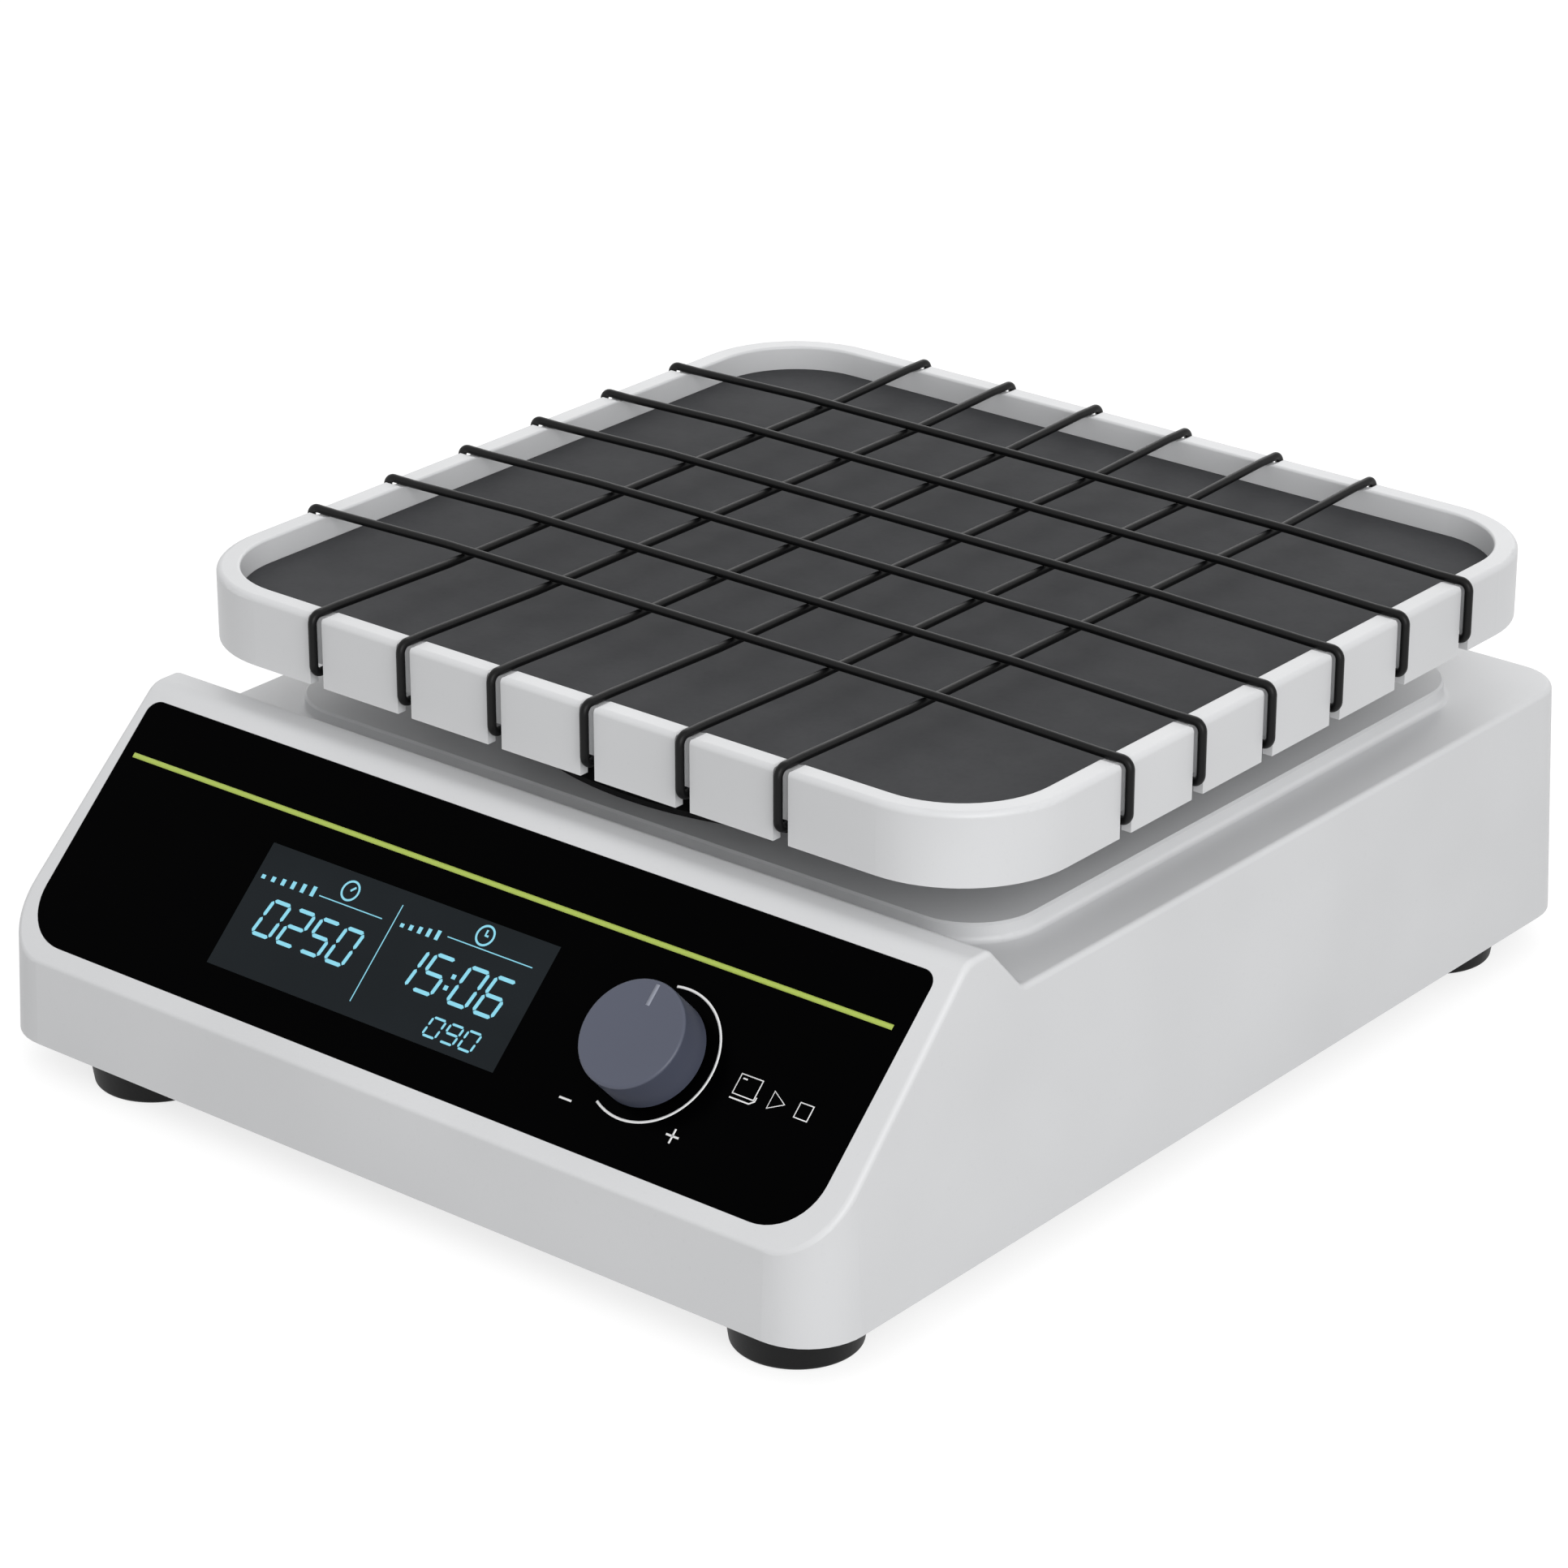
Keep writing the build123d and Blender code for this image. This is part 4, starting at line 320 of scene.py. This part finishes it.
def ribbon_tree():
    """Geometry nodes that turn flat lines into thin printed bars of a width and a thickness."""
    tree = bpy.data.node_groups.new("printed_line", "GeometryNodeTree")
    face = tree.interface
    face.new_socket("Lines", in_out="INPUT", socket_type="NodeSocketGeometry")
    face.new_socket("Width", in_out="INPUT", socket_type="NodeSocketFloat")
    face.new_socket("Thickness", in_out="INPUT", socket_type="NodeSocketFloat")
    face.new_socket("Ink", in_out="INPUT", socket_type="NodeSocketMaterial")
    face.new_socket("Print", in_out="OUTPUT", socket_type="NodeSocketGeometry")
    made = {}
    for key, kind in (("in", "NodeGroupInput"), ("normal", "GeometryNodeSetCurveNormal"),
                      ("profile", "GeometryNodeCurvePrimitiveQuadrilateral"),
                      ("mesh", "GeometryNodeCurveToMesh"), ("real", "GeometryNodeRealizeInstances"),
                      ("ink", "GeometryNodeSetMaterial"), ("out", "NodeGroupOutput")):
        made[key] = tree.nodes.new(kind)
    made["normal"].mode = "Z_UP"
    made["mesh"].inputs["Fill Caps"].default_value = True
    links = (("in", "Lines", "normal", "Curve"), ("in", "Width", "profile", "Width"),
             ("in", "Thickness", "profile", "Height"), ("normal", "Curve", "mesh", "Curve"),
             ("profile", "Curve", "mesh", "Profile Curve"), ("mesh", "Mesh", "real", "Geometry"),
             ("real", "Geometry", "ink", "Geometry"), ("in", "Ink", "ink", "Material"),
             ("ink", "Geometry", "out", "Print"))
    for source, output, target, entry in links:
        tree.links.new(made[source].outputs[output], made[target].inputs[entry])
    return tree


RIBBON = ribbon_tree()


def add_object(name, data):
    made = bpy.data.objects.new(name, data)
    bpy.context.scene.collection.objects.link(made)
    return made


def solid_mesh(name, source, place):
    """The evaluated source as a plain mesh object in its place, with its normals outwards."""
    bpy.context.view_layer.update()
    graph = bpy.context.evaluated_depsgraph_get()
    mesh = bpy.data.meshes.new_from_object(source.evaluated_get(graph))
    mesh.name = name
    mesh.transform(place)
    bpy.data.objects.remove(source)
    made = bmesh.new()
    made.from_mesh(mesh)
    bmesh.ops.remove_doubles(made, verts=made.verts, dist=1e-7)
    bmesh.ops.recalc_face_normals(made, faces=made.faces)
    made.to_mesh(mesh)
    made.free()
    return add_object(name, mesh)


def printed_lines(name, lines, width, ink, body, lift=0.0, taper=None):
    """Bars printed along flat lines of panel points, as one piece on a body."""
    curve = bpy.data.curves.new(name + "_lines", "CURVE")
    curve.dimensions = "3D"
    for points in lines:
        closed = points[0] == points[-1]
        spots = points[:-1] if closed else points
        spline = curve.splines.new("POLY")
        spline.points.add(len(spots) - 1)
        for index, (x, s) in enumerate(spots):
            spline.points[index].co = (x, s, 0, 1)
            if taper:
                along = index / (len(spots) - 1)
                spline.points[index].radius = min(1.0, taper + 4 * min(along, 1 - along))
        spline.use_cyclic_u = closed
    source = add_object(name + "_lines", curve)
    modifier = source.modifiers.new("print", "NODES")
    modifier.node_group = RIBBON
    values = {"Width": width, "Thickness": PRINT_THICKNESS, "Ink": ink}
    for item in RIBBON.interface.items_tree:
        if item.in_out == "INPUT" and item.name in values:
            modifier[item.identifier] = values[item.name]
    piece = solid_mesh(name, source, panel_place(lift + PRINT_LIFT))
    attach(piece, body)
    return piece


def ring(x, s, radius, steps=28):
    """A closed circle of panel points."""
    turn = [2 * math.pi * step / steps for step in range(steps)]
    points = [(x + radius * math.cos(a), s + radius * math.sin(a)) for a in turn]
    return points + points[:1]


def arc(x, s, radius, start, end, steps):
    """Panel points along an arc, its ends in degrees from the x axis."""
    turn = [math.radians(start + (end - start) * step / steps) for step in range(steps + 1)]
    return [(x + radius * math.cos(a), s + radius * math.sin(a)) for a in turn]


def segment_outline(start, end, width):
    """A bar of the display between two points, pointed at both ends."""
    start, end = Vector(start), Vector(end)
    along = (end - start).normalized()
    side = Vector((-along.y, along.x)) * width / 2
    start, end = start + along * DIGIT_GAP, end - along * DIGIT_GAP
    in_start, in_end = start + along * width / 2, end - along * width / 2
    return [start, in_start - side, in_end - side, end, in_end + side, in_start + side]


def digits(text, left, foot, width, height, pitch, bar):
    """The outlines of a row of seven-segment digits, leaning to the right."""
    outlines = []
    x = left
    for mark in text:
        if mark == ":":
            for level in (0.3, 0.62):
                centre = Vector((x + DIGIT_SLANT * height * level, foot + height * level))
                outlines.append([centre + Vector(spot) * bar * 0.6 for spot in ((-1, -1), (1, -1), (1, 1), (-1, 1))])
            x += COLON_GAP
            continue
        for key in LIT[mark]:
            ends = [(x + width * u + DIGIT_SLANT * height * v, foot + height * v) for u, v in SEGMENTS[key]]
            outlines.append(segment_outline(*ends, bar))
        x += pitch
    return outlines


def plates(name, outlines, thickness, ink, body, lift):
    """Thin plates of the given outlines on the panel, as one piece on a body."""
    made = bmesh.new()
    for outline in outlines:
        low = [made.verts.new((x, s, 0)) for x, s in outline]
        high = [made.verts.new((x, s, thickness)) for x, s in outline]
        made.faces.new(high)
        made.faces.new(low[::-1])
        for index in range(len(outline)):
            after = (index + 1) % len(outline)
            made.faces.new((low[index], low[after], high[after], high[index]))
    bmesh.ops.recalc_face_normals(made, faces=made.faces)
    mesh = bpy.data.meshes.new(name)
    made.to_mesh(mesh)
    made.free()
    mesh.transform(panel_place(lift))
    mesh.materials.append(ink)
    piece = add_object(name, mesh)
    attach(piece, body)
    return piece


def bars(left, right, foot, height, count, width):
    """Outlines of a row of upright bars that grow to the right."""
    outlines = []
    for index in range(count):
        x = left + (right - left) * index / (count - 1)
        top = foot + height * (0.4 + 0.6 * index / (count - 1))
        outlines.append([(x, foot), (x + width, foot), (x + width, top), (x, top)])
    return outlines


# The stripe, the line round the knob, the signs and the push symbol
printed_lines("panel_stripe", [[(PANEL_LEFT, STRIPE_S), (PANEL_RIGHT, STRIPE_S)]], STRIPE_WIDTH, STRIPE_INK, "base")
printed_lines("knob_line", [arc(KNOB_X, KNOB_S, ARC_RADIUS, ARC_START, ARC_END, ARC_STEPS)], ARC_WIDTH,
              WHITE_INK, "base", taper=ARC_TAPER)
MINUS = (65.4, 21.4)
PLUS = (108.4, 22.6)
sign_lines = [[(x - SIGN_HALF, s), (x + SIGN_HALF, s)] for x, s in (MINUS, PLUS)]
sign_lines.append([(PLUS[0], PLUS[1] - SIGN_HALF), (PLUS[0], PLUS[1] + SIGN_HALF)])
printed_lines("panel_signs", sign_lines, SIGN_WIDTH, WHITE_INK, "base")
BUTTON = (120.6, 42.0, 129.0, 48.8)
left, low, right, high = BUTTON
button_lines = [
    [(left, low), (right, low), (right, high), (left, high), (left, low)],
    [(left - 0.3, low - 1.5), (right - 1.0, low - 1.5), (right + 0.6, low - 0.2), (right + 0.6, low + 1.2)],
    [(left + 1.2, high - 1.3), (left + 2.9, high - 1.3)]]
START = (134.6, 44.2)
STOP = (145.0, 44.2)
MARK_HALF = 3.0
x, s = START
button_lines.append([(x, s - MARK_HALF), (x + 1.8 * MARK_HALF, s), (x, s + MARK_HALF), (x, s - MARK_HALF)])
x, s = STOP
edge = 1.7 * MARK_HALF
low, high = s - edge / 2, s + edge / 2
button_lines.append([(x, low), (x + edge, low), (x + edge, high), (x, high), (x, low)])
printed_lines("push_symbol", button_lines, 0.5, WHITE_INK, "base")
POINTER_TOP = KNOB_S + KNOB_RADIUS - POINTER_INSET
printed_lines("knob_pointer", [[(KNOB_X + 0.6, POINTER_TOP), (KNOB_X + 0.6, POINTER_TOP - POINTER_LENGTH)]],
              POINTER_WIDTH, POINTER_INK, "knob", lift=KNOB_FACE)

# The display's marks
digit_outlines = digits("0250", *LARGE_LEFT) + digits("15:06", *LARGE_RIGHT)
digit_outlines += digits("090", *SMALL_RIGHT)
digit_outlines += bars(-89.0, -67.0, 53.8, 3.6, 6, 1.6) + bars(-27.0, -12.0, 54.6, 3.4, 5, 1.5)
plates("display_digits", digit_outlines, PRINT_THICKNESS, GLOW, "base", WINDOW_LIFT)
DIAL = (-52.4, 60.1)
CLOCK = (6.0, 61.6)
mark_lines = [ring(*DIAL, RING_RADIUS), ring(*CLOCK, RING_RADIUS),
              [DIAL, (DIAL[0] + 1.6, DIAL[1] + 1.6)],
              [(CLOCK[0], CLOCK[1] + 2.0), CLOCK, (CLOCK[0] + 1.3, CLOCK[1])]]
printed_lines("display_rings", mark_lines, 0.75, GLOW, "base", lift=WINDOW_LIFT)
rule_lines = [[(-63.1, 55.0), (-35.0, 55.0)], [(-7.4, 57.0), (29.0, 57.0)], [(-30.0, 25.8), (-30.0, 61.7)]]
printed_lines("display_rules", rule_lines, 0.35, GLOW, "base", lift=WINDOW_LIFT)


# Floor, light and camera

def stage_material():
    """A white floor that shows the object's shadow and counts as white to camera and mirror rays."""
    finish = Finish("floor_white", Roughness=0.9, **{"Base Color": (0.35, 0.35, 0.35), "Specular IOR Level": 0.0})
    path = finish.node("ShaderNodeLightPath")
    seen = finish.maths("MAXIMUM", Wire(finish, path.outputs["Is Camera Ray"]),
                        Wire(finish, path.outputs["Is Glossy Ray"]))
    seen = finish.maths("MAXIMUM", seen, Wire(finish, path.outputs["Is Transmission Ray"]))
    glow = finish.node("ShaderNodeEmission", inputs={"Color": (1, 1, 1), "Strength": seen * 0.75})
    both = finish.node("ShaderNodeAddShader", inputs={0: finish.surface.outputs[0], 1: glow.outputs[0]})
    output = finish.tree.nodes["Material Output"]
    finish.feed(output.inputs["Surface"], both.outputs[0])
    return finish.material


FLOOR_HALF = 8.0
floor_mesh = bpy.data.meshes.new("floor")
floor_corners = [(x * FLOOR_HALF, y * FLOOR_HALF, -0.0002) for x, y in ((-1, -1), (1, -1), (1, 1), (-1, 1))]
floor_mesh.from_pydata(floor_corners, [], [(0, 1, 2, 3)])
floor_mesh.materials.append(stage_material())
add_object("floor", floor_mesh)


def area_light(name, place, aim, size, power):
    light = bpy.data.lights.new(name, "AREA")
    light.shape = "SQUARE"
    light.size = size
    light.energy = power
    lamp = add_object(name, light)
    lamp.matrix_world = (Matrix.Translation(place)
                         @ (Vector(aim) - Vector(place)).to_track_quat("-Z", "Y").to_matrix().to_4x4())


area_light("key", (2.23, -1.56, 1.27), (0, 0, 0.1), 2.0, 46.0)
area_light("back", (-1.2, 2.2, 1.5), (0, 0, 0.1), 2.0, 14.0)

world = bpy.data.worlds.new("studio")
bpy.context.scene.world = world
world.use_nodes = True
world.node_tree.nodes.clear()
sky = world.node_tree.nodes.new("ShaderNodeBackground")
sky.inputs["Color"].default_value = (1.0, 1.0, 1.0, 1.0)
sky.inputs["Strength"].default_value = 0.78
path = world.node_tree.nodes.new("ShaderNodeLightPath")
white = world.node_tree.nodes.new("ShaderNodeBackground")
mix = world.node_tree.nodes.new("ShaderNodeMixShader")
output = world.node_tree.nodes.new("ShaderNodeOutputWorld")
joined = path.outputs["Is Camera Ray"]
for kind in ("Is Glossy Ray", "Is Transmission Ray"):
    larger = world.node_tree.nodes.new("ShaderNodeMath")
    larger.operation = "MAXIMUM"
    world.node_tree.links.new(joined, larger.inputs[0])
    world.node_tree.links.new(path.outputs[kind], larger.inputs[1])
    joined = larger.outputs[0]
world.node_tree.links.new(joined, mix.inputs[0])
world.node_tree.links.new(sky.outputs[0], mix.inputs[1])
world.node_tree.links.new(white.outputs[0], mix.inputs[2])
white.inputs["Color"].default_value = (1.0, 1.0, 1.0, 1.0)
white.inputs["Strength"].default_value = 1.0
world.node_tree.links.new(mix.outputs[0], output.inputs[0])

back = Vector((math.sin(AZIMUTH) * math.cos(ELEVATION), -math.cos(AZIMUTH) * math.cos(ELEVATION),
               math.sin(ELEVATION)))
across = Vector((0, 0, 1)).cross(back).normalized()
upright = back.cross(across)
lens = bpy.data.cameras.new("camera")
lens.lens = LENS
lens.sensor_width = 36.0
lens.clip_end = 50.0
camera = add_object("camera", lens)
camera.matrix_world = Matrix.Translation(EYE) @ Matrix((across, upright, back)).transposed().to_4x4()
bpy.context.scene.camera = camera
bpy.context.scene.view_settings.view_transform = "Standard"
